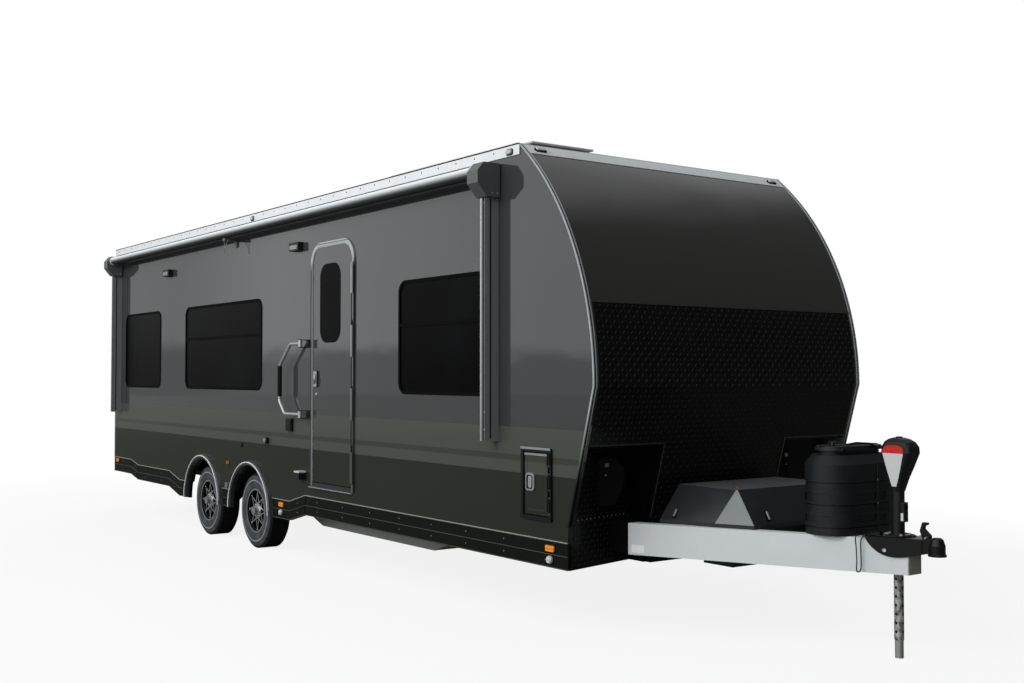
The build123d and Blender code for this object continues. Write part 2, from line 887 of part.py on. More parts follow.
# Hinged side doors
def side_hinge(builder, axis, low, high, count, radius, leaf, take, seat_y, part_side):
    """Knuckles on an upright hinge, one in two, each with a leaf to its panel."""
    axis_x, axis_y = axis
    length = (high - low) / count
    for index in range(count):
        if index % 2 != take:
            continue
        z = low + (index + 0.5) * length
        with builder:
            with Locations((axis_x, axis_y, z)):
                Cylinder(radius, length - 0.5)
            x0, x1 = sorted((axis_x + part_side * 1.5, axis_x + part_side * leaf))
            y0, y1 = sorted((axis_y, seat_y))
            box_between((x0, y0, z - length / 2 + 0.25), (x1, y1, z + length / 2 - 0.25))


def side_door(rear_x, front_x, low, high, corner, trim, proud, thickness, side, count, square_foot):
    """A frame ring and its hinged slab, hinged at the front edge."""
    radius = side_hinge_radius
    face = side * half
    outer_face = side * (half + proud)
    inner_face = side * inner
    fit = trim / 2 + 0.5
    with BuildPart() as frame:
        rounded_cut(at(rear_x), at(front_x), low, high, corner, max(outer_face, face), proud,
                    Mode.ADD, square_foot)
        rounded_cut(at(rear_x) + fit, at(front_x) - fit, low + fit, high - fit,
                    max(corner - trim / 2, least_corner), max(face, inner_face), wall,
                    Mode.ADD, square_foot)
        rounded_cut(at(rear_x) + trim, at(front_x) - trim, low + trim, high - trim,
                    max(corner - trim, least_corner), max(outer_face, inner_face), wall + proud,
                    Mode.SUBTRACT, square_foot)
    slab_face = side * (half + slab_proud)
    slab_back = side * (half + slab_proud - thickness)
    edge = trim + door_gap
    with BuildPart() as slab:
        rounded_cut(at(rear_x) + edge, at(front_x) - edge, low + edge, high - edge,
                    max(corner - edge, least_corner - 1), max(slab_face, slab_back), thickness,
                    Mode.ADD, square_foot)
    axis = (at(front_x - trim), side * (half + proud + radius + 0.5))
    ends = (low + trim + 36, high - corner - 20)
    side_hinge(frame, axis, *ends, count, radius, trim - 8, 0, side * (half + proud - 2), 1)
    side_hinge(slab, axis, *ends, count, radius, trim - 12, 1, side * (half + slab_proud - 2), -1)
    return frame, slab, axis


door_frame, entry_door, door_axis = side_door(
    door_rear, door_front, door_low, door_high, door_corner, door_trim, door_proud, door_thickness,
    -1, 7, True,
)
x0, x1, z0, z1 = door_window
lock_x = door_rear + door_trim + door_gap + lock_size[0]
with entry_door:
    rounded_cut(at(x0), at(x1), z0, z1, door_window_corner, -half + 100, 200)
    with Locations((at(lock_x), -half - slab_proud - lock_size[1] / 2 + 2, lock_z)):
        Box(*lock_size)
with BuildPart() as entry_door_window:
    rounded_cut(at(x0) + pane_gap, at(x1) - pane_gap, z0 + pane_gap, z1 - pane_gap,
                door_window_corner - pane_gap, -half + 20, 26, Mode.ADD)
finish(door_frame.part, "entry_door_frame")
finish(entry_door.part, "entry_door")
finish(entry_door_window.part, "entry_door_window")

bag_frames = []
bag_axes = {}
for label, side in (("curb", -1), ("street", 1)):
    frame, slab, bag_axes[label] = side_door(
        bag_rear, bag_front, bag_low, bag_high, bag_corner, bag_trim, bag_proud, bag_thickness,
        side, 5, False,
    )
    bag_frames.append(frame.solid())
    finish(slab.part, f"baggage_door_{label}")
finish(Compound(bag_frames), "baggage_frames")

# Windows: rims with dark panes
rims = []
panes = []
for side in (-1, 1):
    for middle, width, divider in windows:
        x0, x1 = at(middle - width / 2), at(middle + width / 2)
        with BuildPart() as window_rim_part:
            top = max(side * (half + window_proud), side * inner)
            rounded_cut(x0 + 0.5, x1 - 0.5, window_low + 0.5, window_high - 0.5, window_corner, top,
                        wall + window_proud, Mode.ADD)
            rounded_cut(x0 + window_rim, x1 - window_rim, window_low + window_rim, window_high - window_rim,
                        window_corner - window_rim, top + 1, wall + window_proud + 2)
            if divider:
                low_y, high_y = sorted((side * (half + window_proud), side * inner))
                box_between(
                    (x0 + window_rim - 1, low_y, window_divider - window_rim / 2),
                    (x1 - window_rim + 1, high_y, window_divider + window_rim / 2),
                )
        rims.append(window_rim_part.solid())
        levels = [window_low + window_rim, window_high - window_rim]
        if divider:
            levels[1:1] = [window_divider - window_rim / 2, window_divider + window_rim / 2]
        for z0, z1 in zip(levels[::2], levels[1::2]):
            with BuildPart() as pane:
                low_y, high_y = sorted((side * (half - 2), side * (half - 10)))
                rounded_cut(x0 + window_rim + pane_gap, x1 - window_rim - pane_gap, window_low + window_rim + pane_gap,
                            window_high - window_rim - pane_gap, window_corner - window_rim - pane_gap,
                            high_y, 8, Mode.ADD)
                box_between((x0, low_y - 1, z0 + pane_gap), (x1, high_y + 1, z1 - pane_gap), Mode.INTERSECT)
            panes.append(pane.solid())
finish(Compound(rims), "window_rims")
finish(Compound(panes), "window_panes")

# Awning
roller_ends = (awning_arm_places[0] + head_width / 2, awning_arm_places[1] - head_width / 2)
roller_mid = (roller_ends[0] + roller_ends[1]) / 2
with BuildPart() as awning_roller:
    with Locations((at(roller_mid), -roller_y, roller_z)):
        Cylinder(roller_radius, roller_ends[1] - roller_ends[0] - 0.6, rotation=(0, 90, 0))
finish(awning_roller.part, "awning_roller")

arms = []
for place in awning_arm_places:
    with BuildPart() as arm:
        box_between(
            (at(place) - arm_width / 2, -half - arm_depth, arm_bottom),
            (at(place) + arm_width / 2, -half, head_low),
        )
        with BuildSketch(Plane.YZ.offset(at(place) - head_width / 2)):
            with BuildLine():
                Polyline(
                    (-half - trim_thickness - 2, head_low),
                    (-half - head_reach + 75, head_low),
                    (-half - head_reach, head_low + 90),
                    (-half - head_reach, head_high - 60),
                    (-half - head_reach + 50, head_high),
                    (-half - trim_thickness - 2, head_high),
                    close=True,
                )
            make_face()
        extrude(amount=head_width)
    arms.append(arm.solid())
with BuildPart() as cradle:
    box_between(
        (at(cradle_place) - cradle_width / 2, -roller_y - 20, roller_z - roller_radius - 25),
        (at(cradle_place) + cradle_width / 2, -half - trim_thickness - 2, roller_z - roller_radius - 1),
    )
    box_between(
        (at(cradle_place) - cradle_width / 2, -half - 12, roller_z - roller_radius - 85),
        (at(cradle_place) + cradle_width / 2, -half, roller_z - roller_radius - 25),
    )
arms.append(cradle.solid())
finish(Compound(arms), "awning_arms")

# Roof equipment
length, width, height = conditioner_size
with BuildPart() as air_conditioner:
    with BuildSketch(Plane.XY.offset(roof_top)):
        with Locations((at(conditioner_place), 0)):
            RectangleRounded(length, width, 110)
    extrude(amount=60)
    for low, high, shrink in ((60, 75, 26), (75, height - 90, 0)):
        with BuildSketch(Plane.XY.offset(roof_top + low)):
            with Locations((at(conditioner_place), 0)):
                RectangleRounded(length - shrink, width - shrink, 110)
        extrude(amount=high - low)
    with BuildSketch(Plane.XY.offset(roof_top + height - 90)):
        with Locations((at(conditioner_place), 0)):
            RectangleRounded(length, width, 110)
    extrude(amount=90, taper=42)
finish(air_conditioner.part, "air_conditioner")

panels = []
for place, top in solar_panels:
    length, width, depth = solar_size
    with BuildPart() as panel:
        box_between((at(place) - length / 2, -solar_edge, roof_top + top - depth),
                    (at(place) + length / 2, -solar_edge + width, roof_top + top))
        for x in (-1, 0, 1):
            for y in (45, width - 45):
                middle_x = at(place) + x * (length / 2 - 60)
                box_between((middle_x - 40, y - solar_edge - 25, roof_top),
                            (middle_x + 40, y - solar_edge + 25, roof_top + top - depth))
    panels.append(panel.solid())
finish(Compound(panels), "solar_panels")

vent_bases = []
vent_hinges = []
for index, place in enumerate(vent_places):
    with BuildPart() as vent_base:
        with Locations((at(place), 0, roof_top + vent_base_height / 2)):
            Box(vent_size, vent_size, vent_base_height)
            Box(vent_size - 44, vent_size - 44, vent_base_height + 2, mode=Mode.SUBTRACT)
    hinge_x = at(place) + vent_size / 2 + 12
    hinge_z = roof_top + vent_base_height + 8
    vent_hinges.append((hinge_x, 0, hinge_z))
    with BuildPart() as vent_lid:
        with BuildSketch(Plane.XY.offset(roof_top + vent_base_height + 0.4)):
            with Locations((at(place), 0)):
                RectangleRounded(vent_size + 4, vent_size + 4, 30)
        extrude(amount=vent_lid_height, taper=18)
    for step in range(3):
        y = (step - 1) * 80
        owner, low_z = (vent_lid, hinge_z - 6) if step == 1 else (vent_base, roof_top + vent_base_height - 20)
        with owner:
            with Locations((hinge_x, y, hinge_z)):
                Cylinder(6, 79.5, rotation=(90, 0, 0))
            if step == 1:
                box_between((hinge_x - 22, y - 39.75, hinge_z - 4), (hinge_x, y + 39.75, hinge_z + 4))
            else:
                box_between((hinge_x - 13, y - 39.75, low_z), (hinge_x + 6, y + 39.75, hinge_z - 8))
                box_between((hinge_x - 4, y - 39.75, hinge_z - 9), (hinge_x + 4, y + 39.75, hinge_z))
    vent_bases.append(vent_base.solid())
    finish(vent_lid.part, f"vent_lid_{('front', 'rear')[index]}")
finish(Compound(vent_bases), "vent_bases")

# Propane cover: two bottles side by side under one moulded cover
def slot_sketch(z, radius):
    """The cover's outline at one height: two half circles joined by straights."""
    with BuildSketch(Plane.XY.offset(z)) as outline:
        with Locations((at(tank_place), 0)):
            SlotCenterToCenter(2 * tank_spread, 2 * radius, rotation=90)
    return outline.sketch


with BuildPart() as propane_cover:
    low = 0
    for high, inset in tank_steps:
        extrude(slot_sketch(beam_top + low, tank_bottle_radius - inset), amount=high - low)
        low = high
    extrude(slot_sketch(beam_top + low, tank_bottle_radius - inset), amount=tank_height - low, taper=38)
    extrude(slot_sketch(beam_top + tank_height - 5, tank_neck), amount=tank_cap_height / 2 + 5)
    extrude(slot_sketch(beam_top + tank_height + tank_cap_height / 2, tank_lid), amount=tank_cap_height / 2, taper=20)
    for low, high in tank_pockets:
        with BuildSketch(Plane.XY.offset(beam_top + low)) as pockets:
            with Locations((at(tank_place), 0)):
                Rectangle(2 * tank_bottle_radius + 10, 2 * tank_spread - 40)
                Rectangle(2 * tank_bottle_radius - 150, 2 * (tank_spread + tank_bottle_radius) + 10)
                SlotCenterToCenter(2 * tank_spread, 2 * (tank_bottle_radius - tank_pocket_depth),
                                   rotation=90, mode=Mode.SUBTRACT)
        extrude(pockets.sketch, amount=high - low, mode=Mode.SUBTRACT)
finish(propane_cover.part, "propane_cover")


# Storage box on the tongue: a tray with a well, and a faceted cover
def half_outline(points):
    return [*points, *[(x, -y) for x, y in reversed(points)]]


cover_low = [(at(x), y) for x, y in box_foot]
cover_high = [(at(x), y) for x, y in box_top]
with BuildPart() as storage_tray:
    prism(Plane.XY.offset(beam_top), half_outline(cover_low), box_rim)
    box_between((at(300), -380, 440), (at(560), 380, beam_top))
finish(storage_tray.part, "storage_tray")
with BuildPart() as storage_cover:
    for z, points in ((beam_top + box_rim + 0.4, cover_low), (box_high, cover_high)):
        with BuildSketch(Plane.XY.offset(z)):
            with BuildLine():
                Polyline(*half_outline(points), close=True)
            make_face()
    loft(ruled=True)
finish(storage_cover.part, "storage_cover")

# Tongue jack: tube, flange, sleeve and powered head, with the drop leg inside
with BuildPart() as tongue_jack:
    head_low_z = head_sections[0][0]
    for low, high, radius in ((tube_low, head_low_z, jack_radius), (sleeve_low, head_low_z + 1, sleeve_radius)):
        with BuildSketch(Plane.XY.offset(low)):
            with Locations((at(jack_place), 0)):
                Circle(radius)
        extrude(amount=high - low)
    with BuildSketch(Plane.XY.offset(beam_top + coupler_plate)):
        with Locations((at(jack_place), 0)):
            RectangleRounded(130, 110, 20)
    extrude(amount=8)
    box_between((at(jack_place) + jack_radius, -switch_width / 2, switch_low),
                (at(jack_place) + switch_reach, switch_width / 2, switch_low + switch_height))
    for lower, upper in zip(head_sections, head_sections[1:]):
        for z, length, width, shift, corner in (lower, upper):
            with BuildSketch(Plane.XY.offset(z)):
                with Locations((at(jack_place) + shift, 0)):
                    RectangleRounded(length, width, corner)
        loft(ruled=True)
    with BuildSketch(Plane.XY.offset(tube_low - 1)):
        with Locations((at(jack_place), 0)):
            Circle(leg_radius + 0.3)
    extrude(amount=460, mode=Mode.SUBTRACT)
with BuildPart() as jack_leg:
    with BuildSketch(Plane.XY):
        with Locations((at(jack_place), 0)):
            Circle(leg_radius)
    extrude(amount=560)
finish(tongue_jack.part, "tongue_jack")
finish(jack_leg.part, "jack_leg")

# Coupler: top plate, curved side plates, neck, ball housing and latch lever
rear_y = tongue_rear_y - slope * (coupler_rear - tongue_rear_x)
run = sqrt(1 + slope**2)
coupler_nose = tongue_front_x + plate_past
nose_y = rear_y - slope * (coupler_nose - coupler_rear)
plate_length = (coupler_nose - coupler_rear) * run
plate_plane = Plane(
    origin=(at(coupler_rear), -rear_y, beam_top + 1),
    x_dir=(1, slope, 0),
    z_dir=(slope, -1, 0),
)
with BuildPart() as coupler:
    prism(
        Plane.XY.offset(beam_top),
        half_outline([
            (at(coupler_rear), -rear_y - coupler_plate),
            (at(coupler_nose), -nose_y - coupler_plate),
            (at(ball_place), -nose_y - coupler_plate / 2),
        ]),
        coupler_plate,
    )
    with BuildSketch(plate_plane):
        with BuildLine():
            curve = Spline(*[(share * plate_length, -drop) for share, drop in plate_curve])
            Polyline(curve @ 1, (plate_length, 0), (0, 0), curve @ 0)
        make_face()
        with Locations((0.33 * plate_length, -66)):
            Circle(plate_hole, mode=Mode.SUBTRACT)
    extrude(amount=coupler_plate)
    mirror(about=Plane.XZ)
    neck_y = nose_y + coupler_plate / 2
    prism(
        side_plane(neck_y),
        [
            (at(tongue_front_x) + beam_wall + 2, housing_low + 10),
            (at(ball_place), housing_low + 10),
            (at(ball_place), housing_high),
            (at(coupler_nose), beam_top + coupler_plate),
            (at(tongue_front_x) + beam_wall + 2, beam_top + coupler_plate),
        ],
        2 * neck_y,
    )
    with BuildSketch(Plane.XZ):
        with BuildLine():
            Polyline(*[(at(ball_place) + r, z) for r, z in (
                (0, housing_low),
                (housing_radius + 6, housing_low),
                (housing_radius + 6, housing_low + 9),
                (housing_radius, housing_low + 16),
                (housing_radius, housing_high - 44),
                (housing_radius - 12, housing_high - 8),
                (housing_radius - 24, housing_high),
                (0, housing_high),
            )], close=True)
        make_face()
    revolve(axis=Axis((at(ball_place), 0, 0), (0, 0, 1)))
    with BuildSketch(Plane.XY.offset(housing_low - 1)):
        with Locations((at(ball_place), 0)):
            Circle(ball_radius)
    extrude(amount=ball_depth + 1, mode=Mode.SUBTRACT)
    with BuildSketch(Plane.XY.offset(beam_top - 1)):
        with Locations((at(jack_place), 0)):
            Circle(jack_radius + 0.3)
    extrude(amount=coupler_plate + 2, mode=Mode.SUBTRACT)
    prism(
        side_plane(lever_width / 2),
        [(at(ball_place) + x, beam_top + z) for x, z in lever_outline],
        lever_width,
    )
    for side in (-1, 1):
        low_y, high_y = sorted((side * (gland_y - gland_width / 2), side * (gland_y + gland_width / 2)))
        low_x = gland_front - gland_length if side > 0 else gland_rear
        box_between((low_x, low_y, beam_top + coupler_plate - 1),
                    (low_x + gland_length, high_y, beam_top + coupler_plate + gland_height))
finish(coupler.part, "coupler")

# Lead of the jack: from its gland round the jack, over the curb beam in a hanging loop, and back
lead_radii = []
with BuildPart() as lead_cord:
    with BuildLine() as route:
        start = Vector(*lead_route[0])
        for before, corner, after in zip(lead_route, lead_route[1:], lead_route[2:]):
            corner = Vector(*corner)
            back, ahead = Vector(*before) - corner, Vector(*after) - corner
            reach = 0.45 * min(back.length, ahead.length)
            half_turn = (pi - acos(back.normalized().dot(ahead.normalized()))) / 2
            radius = reach / tan(half_turn)
            lead_radii.append(round(radius))
            inward = (back.normalized() + ahead.normalized()).normalized()
            first = corner + back.normalized() * reach
            last = corner + ahead.normalized() * reach
            Line(start, first)
            ThreePointArc(first, corner + inward * radius * (1 / cos(half_turn) - 1), last)
            start = last
        Line(start, Vector(*lead_route[-1]))
    with BuildSketch(Plane(route.line @ 0, z_dir=route.line % 0)):
        Circle(lead_radius)
    sweep(path=route.line)
finish(lead_cord.part, "lead_cord")
print("radii of the lead", lead_radii)

# Grab handle beside the entry door, stowed against the wall behind it
handle_y = -half - handle_stand
ear = 6
brackets = []
for z in (handle_low, handle_high):
    with BuildPart() as bracket:
        box_between(
            (at(handle_x) - 30, -half - 8, z - pivot_height / 2 - ear),
            (at(handle_x) + 30, -half, z + pivot_height / 2 + ear),
        )
        for end in (-1, 1):
            with BuildSketch(Plane.XY.offset(z + end * (pivot_height / 2 + ear / 2) - ear / 2)):
                with Locations((at(handle_x), -half - handle_stand / 2)):
                    Rectangle(36, handle_stand)
                with Locations((at(handle_x), handle_y)):
                    Circle(18)
            extrude(amount=ear)
    brackets.append(bracket.solid())
with BuildPart() as grab_handle:
    for z in (handle_low, handle_high):
        with Locations((at(handle_x), handle_y, z)):
            Cylinder(17, pivot_height - 0.8)
    with BuildLine() as path:
        FilletPolyline(
            (at(handle_x), handle_y, handle_high),
            (at(handle_x) - 200, handle_y, handle_high),
            (at(handle_x) - handle_reach, handle_y, handle_high - 190),
            (at(handle_x) - handle_reach, handle_y, handle_low + 110),
            (at(handle_x) - handle_reach + 110, handle_y, handle_low),
            (at(handle_x), handle_y, handle_low),
            radius=50,
        )
    with BuildSketch(Plane(path.line @ 0, z_dir=path.line % 0)):
        Circle(handle_tube / 2)
    sweep(path=path.line)
finish(grab_handle.part, "grab_handle")
finish(Compound(brackets), "handle_brackets")

# Side marker lights: on the sills, between the arches and on the roof trim
lights = []
for side in (-1, 1):
    for place, z, length, height, base in side_lamps:
        with BuildPart() as lamp:
            low_y, high_y = sorted((side * (half + base), side * (half + base + lamp_reach)))
            rounded_cut(at(place) - length / 2, at(place) + length / 2, z - height / 2, z + height / 2,
                        0.3 * height, high_y, lamp_reach, Mode.ADD)
        lights.append(lamp.solid())
finish(Compound(lights), "side_lights")

# Fittings on the curb wall
fittings = []
for place, z, length, height, reach in wall_fittings:
    with BuildPart() as fitting:
        rounded_cut(at(place) - length / 2, at(place) + length / 2, z - height / 2, z + height / 2,
                    8, -half, reach, Mode.ADD)
    fittings.append(fitting.solid())
finish(Compound(fittings), "wall_fittings")


def main():
    os.makedirs("parts", exist_ok=True)
    for name, part in finished:
        export_step(part, f"parts/{name}.step")


if __name__ == "__main__":
    main()
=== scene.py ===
from math import atan2, ceil, cos, pi, radians, sin, sqrt

import bmesh
import bpy
from mathutils import Matrix, Vector
from mathutils.bvhtree import BVHTree


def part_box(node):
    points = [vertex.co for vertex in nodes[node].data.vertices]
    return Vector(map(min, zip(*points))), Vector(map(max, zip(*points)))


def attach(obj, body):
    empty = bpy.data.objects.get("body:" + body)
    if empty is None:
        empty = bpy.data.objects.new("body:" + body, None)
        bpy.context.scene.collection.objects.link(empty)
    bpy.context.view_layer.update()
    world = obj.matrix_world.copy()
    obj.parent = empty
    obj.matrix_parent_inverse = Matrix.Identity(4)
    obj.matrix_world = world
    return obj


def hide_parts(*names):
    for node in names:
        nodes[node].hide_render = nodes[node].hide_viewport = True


# Looks of a toy hauler travel trailer, in metres, in the frame of its CAD model: +X forward,
# +Z up, -Y the curb side with the entry door, the origin under the tongue jack.

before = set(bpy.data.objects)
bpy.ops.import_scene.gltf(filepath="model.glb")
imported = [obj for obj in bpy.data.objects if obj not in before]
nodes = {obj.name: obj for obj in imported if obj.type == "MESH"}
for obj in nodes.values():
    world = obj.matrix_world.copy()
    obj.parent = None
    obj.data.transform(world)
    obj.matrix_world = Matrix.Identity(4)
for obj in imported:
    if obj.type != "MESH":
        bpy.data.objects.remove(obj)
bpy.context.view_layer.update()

# Sizes shared with the CAD model
half = -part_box("side_wall_curb")[0].y
body_length = 9.090
body_front = -1.536
body_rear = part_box("side_wall_curb")[0].x
roof_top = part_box("side_wall_curb")[1].z
knee = Vector((-1.276, 0, 1.606))
cap_radius = 2.104
cap_centre = knee - Vector((cap_radius, 0, 0))
guard_top = 2.140
foot = Vector((body_front + 0.005, 0, 0.707))
recess_low, recess_high = 0.715, 1.225
axle_places = [body_front - 4.900, body_front - 6.100]
wheel_z = 0.360
wheel_mid = 1.141
tread_radius = 0.3525
flare_radius = 0.490
beam_top = 0.710
beam_height = 0.205
sides = {"curb": -1, "street": 1}
both = tuple(sides.values())
roof_front = cap_centre.x + sqrt(cap_radius**2 - (roof_top - knee.z) ** 2)
cap_rise = atan2(roof_top - knee.z, roof_front - cap_centre.x)
guard_rise = atan2(guard_top - knee.z, sqrt(cap_radius**2 - (guard_top - knee.z) ** 2))

# Paint bands on the sides, by height
stripe_low = 1.020
pinstripe_low = 1.100
pinstripe_high = 1.140
stripe_high = 1.325

# Side sill: its top edge by place, from front to rear
sill_height = 0.170
sill_line = [
    (body_front, 0.600), (body_front - 3.740, 0.600), (body_front - 4.060, 0.522),
    (body_front - 6.830, 0.522), (body_front - 7.150, 0.600), (body_front - 8.200, 0.600),
    (body_front - 8.450, 0.652), (body_rear, 0.652),
]

# Doors in the sides: rear, front, low and high edge
entry = (body_front - 3.630, body_front - 2.830, 0.700, 2.830)
baggage = (body_front - 0.488, body_front - 0.158, 0.722, 1.196)


def at(place):
    """A place along the body, measured from its lower front corner."""
    return body_front + place


# Materials


def srgb(red, green, blue):
    """A colour given as screen values from 0 to 255."""
    shares = [value / 255 for value in (red, green, blue)]
    return tuple(s / 12.92 if s <= 0.04045 else ((s + 0.055) / 1.055) ** 2.4 for s in shares) + (1,)


def shade(colour, share):
    """A colour made darker or lighter by a factor."""
    return tuple(min(1, value * share) for value in colour[:3]) + (1,)


def operator(operation, swapped=False):
    """A method that adds one Math node."""
    def method(self, *others):
        values = (*others, self) if swapped else (self, *others)
        return self.finish.node("ShaderNodeMath", {"operation": operation}, dict(enumerate(values)))

    return method


class Reading:
    """A shader socket that takes part in Python arithmetic. a | b is the larger of the two."""

    def __init__(self, finish, socket):
        self.finish = finish
        self.socket = socket

    __add__ = __radd__ = operator("ADD")
    __sub__ = operator("SUBTRACT")
    __rsub__ = operator("SUBTRACT", swapped=True)
    __mul__ = __rmul__ = operator("MULTIPLY")
    __gt__ = operator("GREATER_THAN")
    __lt__ = operator("LESS_THAN")
    __or__ = operator("MAXIMUM")
    __abs__ = operator("ABSOLUTE")
    least = operator("MINIMUM")
    root = operator("SQRT")
    wave = operator("SINE")
    fold = operator("PINGPONG")


class Finish:
    """A material in the making. Every node comes from node()."""

    def __init__(self, name):
        self.material = bpy.data.materials.new(name)
        self.material.use_nodes = True
        self.tree = self.material.node_tree
        self.shader = self.tree.nodes["Principled BSDF"]
        self.read_place("Object")

    def read_place(self, system):
        self.place = self.node("ShaderNodeTexCoord", out=system)
        self.x, self.y, self.z = (
            self.node("ShaderNodeSeparateXYZ", {}, {0: self.place}, axis) for axis in "XYZ"
        )

    def put(self, socket, value):
        if isinstance(value, Reading):
            self.tree.links.new(value.socket, socket)
        else:
            socket.default_value = value

    def node(self, kind, settings=None, values=None, out=0):
        """A node of a type, with its settings made first and then its sockets' values or links."""
        made = self.tree.nodes.new(kind)
        for key, value in (settings or {}).items():
            setattr(made, key, value)
        for key, value in (values or {}).items():
            self.put(made.inputs[key], value)
        return Reading(self, made.outputs[out])

    def mix(self, mask, *colours):
        """The first colour where the mask is 0, the second where it is 1. Three numbers are srgb."""
        low, high = (c if isinstance(c, Reading) or len(c) == 4 else srgb(*c) for c in colours)
        return self.node("ShaderNodeMix", {"data_type": "RGBA"}, {0: mask, 6: low, 7: high}, 2)

    def noise(self, scale, detail=3, stretch=(1, 1, 1)):
        """Soft noise with this many waves to the metre, stretched by a factor on each axis."""
        place = self.node("ShaderNodeMapping", {}, {0: self.place, 3: stretch})
        values = {"Vector": place, "Scale": scale, "Detail": detail}
        return self.node("ShaderNodeTexNoise", {}, values, "Fac")

    def band(self, value, low, high, blur=0.0015):
        """1 where the value lies between low and high, with a short blend at each edge."""
        return self.ramp(value, low - blur, low + blur) - self.ramp(value, high - blur, high + blur)

    def ramp(self, value, low, high):
        """0 below low, 1 above high, smooth between."""
        settings = {"interpolation_type": "SMOOTHSTEP"}
        return self.node("ShaderNodeMapRange", settings, {0: value, 1: low, 2: high})

    def bump(self, height, distance, strength=0.4):
        """A normal from a height that runs from 0 to 1 over this distance."""
        values = {"Height": height, "Distance": distance, "Strength": strength}
        return self.node("ShaderNodeBump", {}, values)

    def surface(self, base_color, roughness, grain=None, **sockets):
        """Sets the shader's sockets by their names. A grain is its waves to the metre and depth."""
        if grain:
            sockets["normal"] = self.bump(self.noise(grain[0]), grain[1])
        names = {name.lower().replace(" ", "_"): name for name in self.shader.inputs.keys()}
        for key, value in {"base_color": base_color, "roughness": roughness, **sockets}.items():
            self.put(self.shader.inputs[names[key]], value)
        return self.material


def gloss(finish, colour, coat=1.0, dust=0.5):
    """Dark gloss paint: a faint orange peel, fine dust low down and a mirror-like clear coat."""
    low_down = 1 - finish.ramp(finish.z, 0.45, 1.1)
    streak = finish.ramp(finish.noise(3, 5, (1, 1, 0.25)), 0.45, 0.8)
    dirt = low_down * streak * dust * 0.2
    return finish.surface(
        finish.mix(dirt, colour, (84, 80, 70)), 0.5 + dirt * 0.5,
        specular_ior_level=0.1, coat_weight=coat, coat_roughness=0.03, coat_ior=1.7,
        normal=finish.bump(finish.noise(60, 2), 0.0002, 0.08),
    )


def side_paint():
    """Charcoal above, a grey stripe split by a pinstripe, and olive black below."""
    finish = Finish("side_paint")
    flake = finish.noise(900, 1)
    cloud = finish.noise(0.7, 2, (1, 1, 0.4)) * 0.5
    upper = finish.mix(flake * 0.6 + cloud, (42, 43, 44), (58, 59, 60))
    lower = finish.mix(flake, (30, 33, 26), (40, 43, 36))
    pale = finish.mix(flake, (62, 66, 60), (72, 76, 70))
    line = finish.mix(flake, (48, 52, 43), (58, 62, 53))
    over_low, over_high = (
        finish.ramp(finish.z, edge - 0.001, edge + 0.001) for edge in (stripe_low, stripe_high)
    )
    colour = finish.mix(over_low, lower, pale)
    colour = finish.mix(finish.band(finish.z, pinstripe_low, pinstripe_high), colour, line)
    colour = finish.mix(over_high, colour, upper)
    return gloss(finish, colour, 0.3 + over_low * 0.25 + over_high * 0.45)


def flake_paint(name, low, high, dust=0.5):
    """One dark colour with a fine flake, mirror-like."""
    finish = Finish(name)
    return gloss(finish, finish.mix(finish.noise(900, 1), low, high), dust=dust)


def plain_paint(name, colour, roughness=0.4, metallic=0.0, grain=0.0003, coat=0.0, cloudy=0.84,
                specular=0.3):
    """Satin paint or powder coat with a fine grain and a slightly uneven shade."""
    finish = Finish(name)
    colour = srgb(*colour)
    cloud = finish.ramp(finish.noise(9, 4), 0.3, 0.75)
    return finish.surface(
        finish.mix(cloud, shade(colour, cloudy), colour), roughness + cloud * 0.08, (700, grain),
        metallic=metallic, specular_ior_level=specular, coat_weight=coat, coat_roughness=0.08,
    )


def brushed(name, colour, along=(1, 40, 40), roughness=0.33, metallic=1.0):
    """Metal with fine brushing lines along one axis and dull smears."""
    finish = Finish(name)
    colour = srgb(*colour)
    lines = finish.noise(18, 4, along)
    smear = finish.ramp(finish.noise(5, 4), 0.35, 0.75)
    return finish.surface(
        finish.mix(lines, shade(colour, 0.78), colour), roughness + smear * 0.15,
        metallic=metallic, normal=finish.bump(lines, 0.0002, 0.3),
    )


def edge_strip():
    """Nose edge trim: bright anodised strip, with painted shade that turns it dark on the lower body."""
    finish = Finish("nose_edge_strip")
    painted_lit_share = finish.ramp(finish.z, 0.95, 1.55)
    bright = finish.mix(finish.noise(18, 4, (40, 1, 1)), (164, 168, 170), (196, 200, 202))
    # Painted shade: low down the strip's colour goes near black.
    colour = finish.mix(painted_lit_share, (22, 23, 22), bright)
    return finish.surface(colour, 0.35, metallic=painted_lit_share * 0.3, specular_ior_level=0.2)


def tinted_glass():
    """Near black window glass with a faint grey bloom."""
    finish = Finish("tinted_glass")
    bloom = finish.ramp(finish.noise(1.6, 3, (1, 1, 0.6)), 0.4, 0.8)
    colour = finish.mix(bloom, (4, 4, 5), (11, 12, 13))
    return finish.surface(colour, 0.25, ior=1.12, specular_ior_level=0.3)


def door_metal():
    """The entry door's frame, one metal with painted light: a painted lit arch on top, painted shade below,
    and a painted highlight line at each side, the hinge side's line growing lighter upwards.
    """
    finish = Finish("door_frame_aluminium")
    rear, front, low, high = entry
    lines = finish.noise(18, 4, (40, 40, 1))
    painted_rise = finish.ramp(finish.z, 0.9, 2.6)
    arch = finish.ramp(finish.z, 2.58, 2.70)
    groove = finish.band(finish.z, high - 0.020, high - 0.012)
    lock_highlight = finish.band(finish.x, rear + 0.024, rear + 0.036) * 0.55
    hinge_highlight = finish.band(finish.x, front - 0.036, front - 0.016) * (painted_rise * 0.7 + 0.15)
    # Painted light: the pale copy of the metal is painted where light falls, and the dull copy is painted
    # shade.
    light = arch - groove * 0.8 | lock_highlight | hinge_highlight
    dull = finish.mix(lines, (40, 43, 40), (50, 53, 50))
    pale = finish.mix(lines, (172, 177, 180), (198, 202, 204))
    return finish.surface(
        finish.mix(light, dull, pale), 0.4,
        metallic=light * 0.5, specular_ior_level=0.2, normal=finish.bump(lines, 0.0002, 0.3),
    )


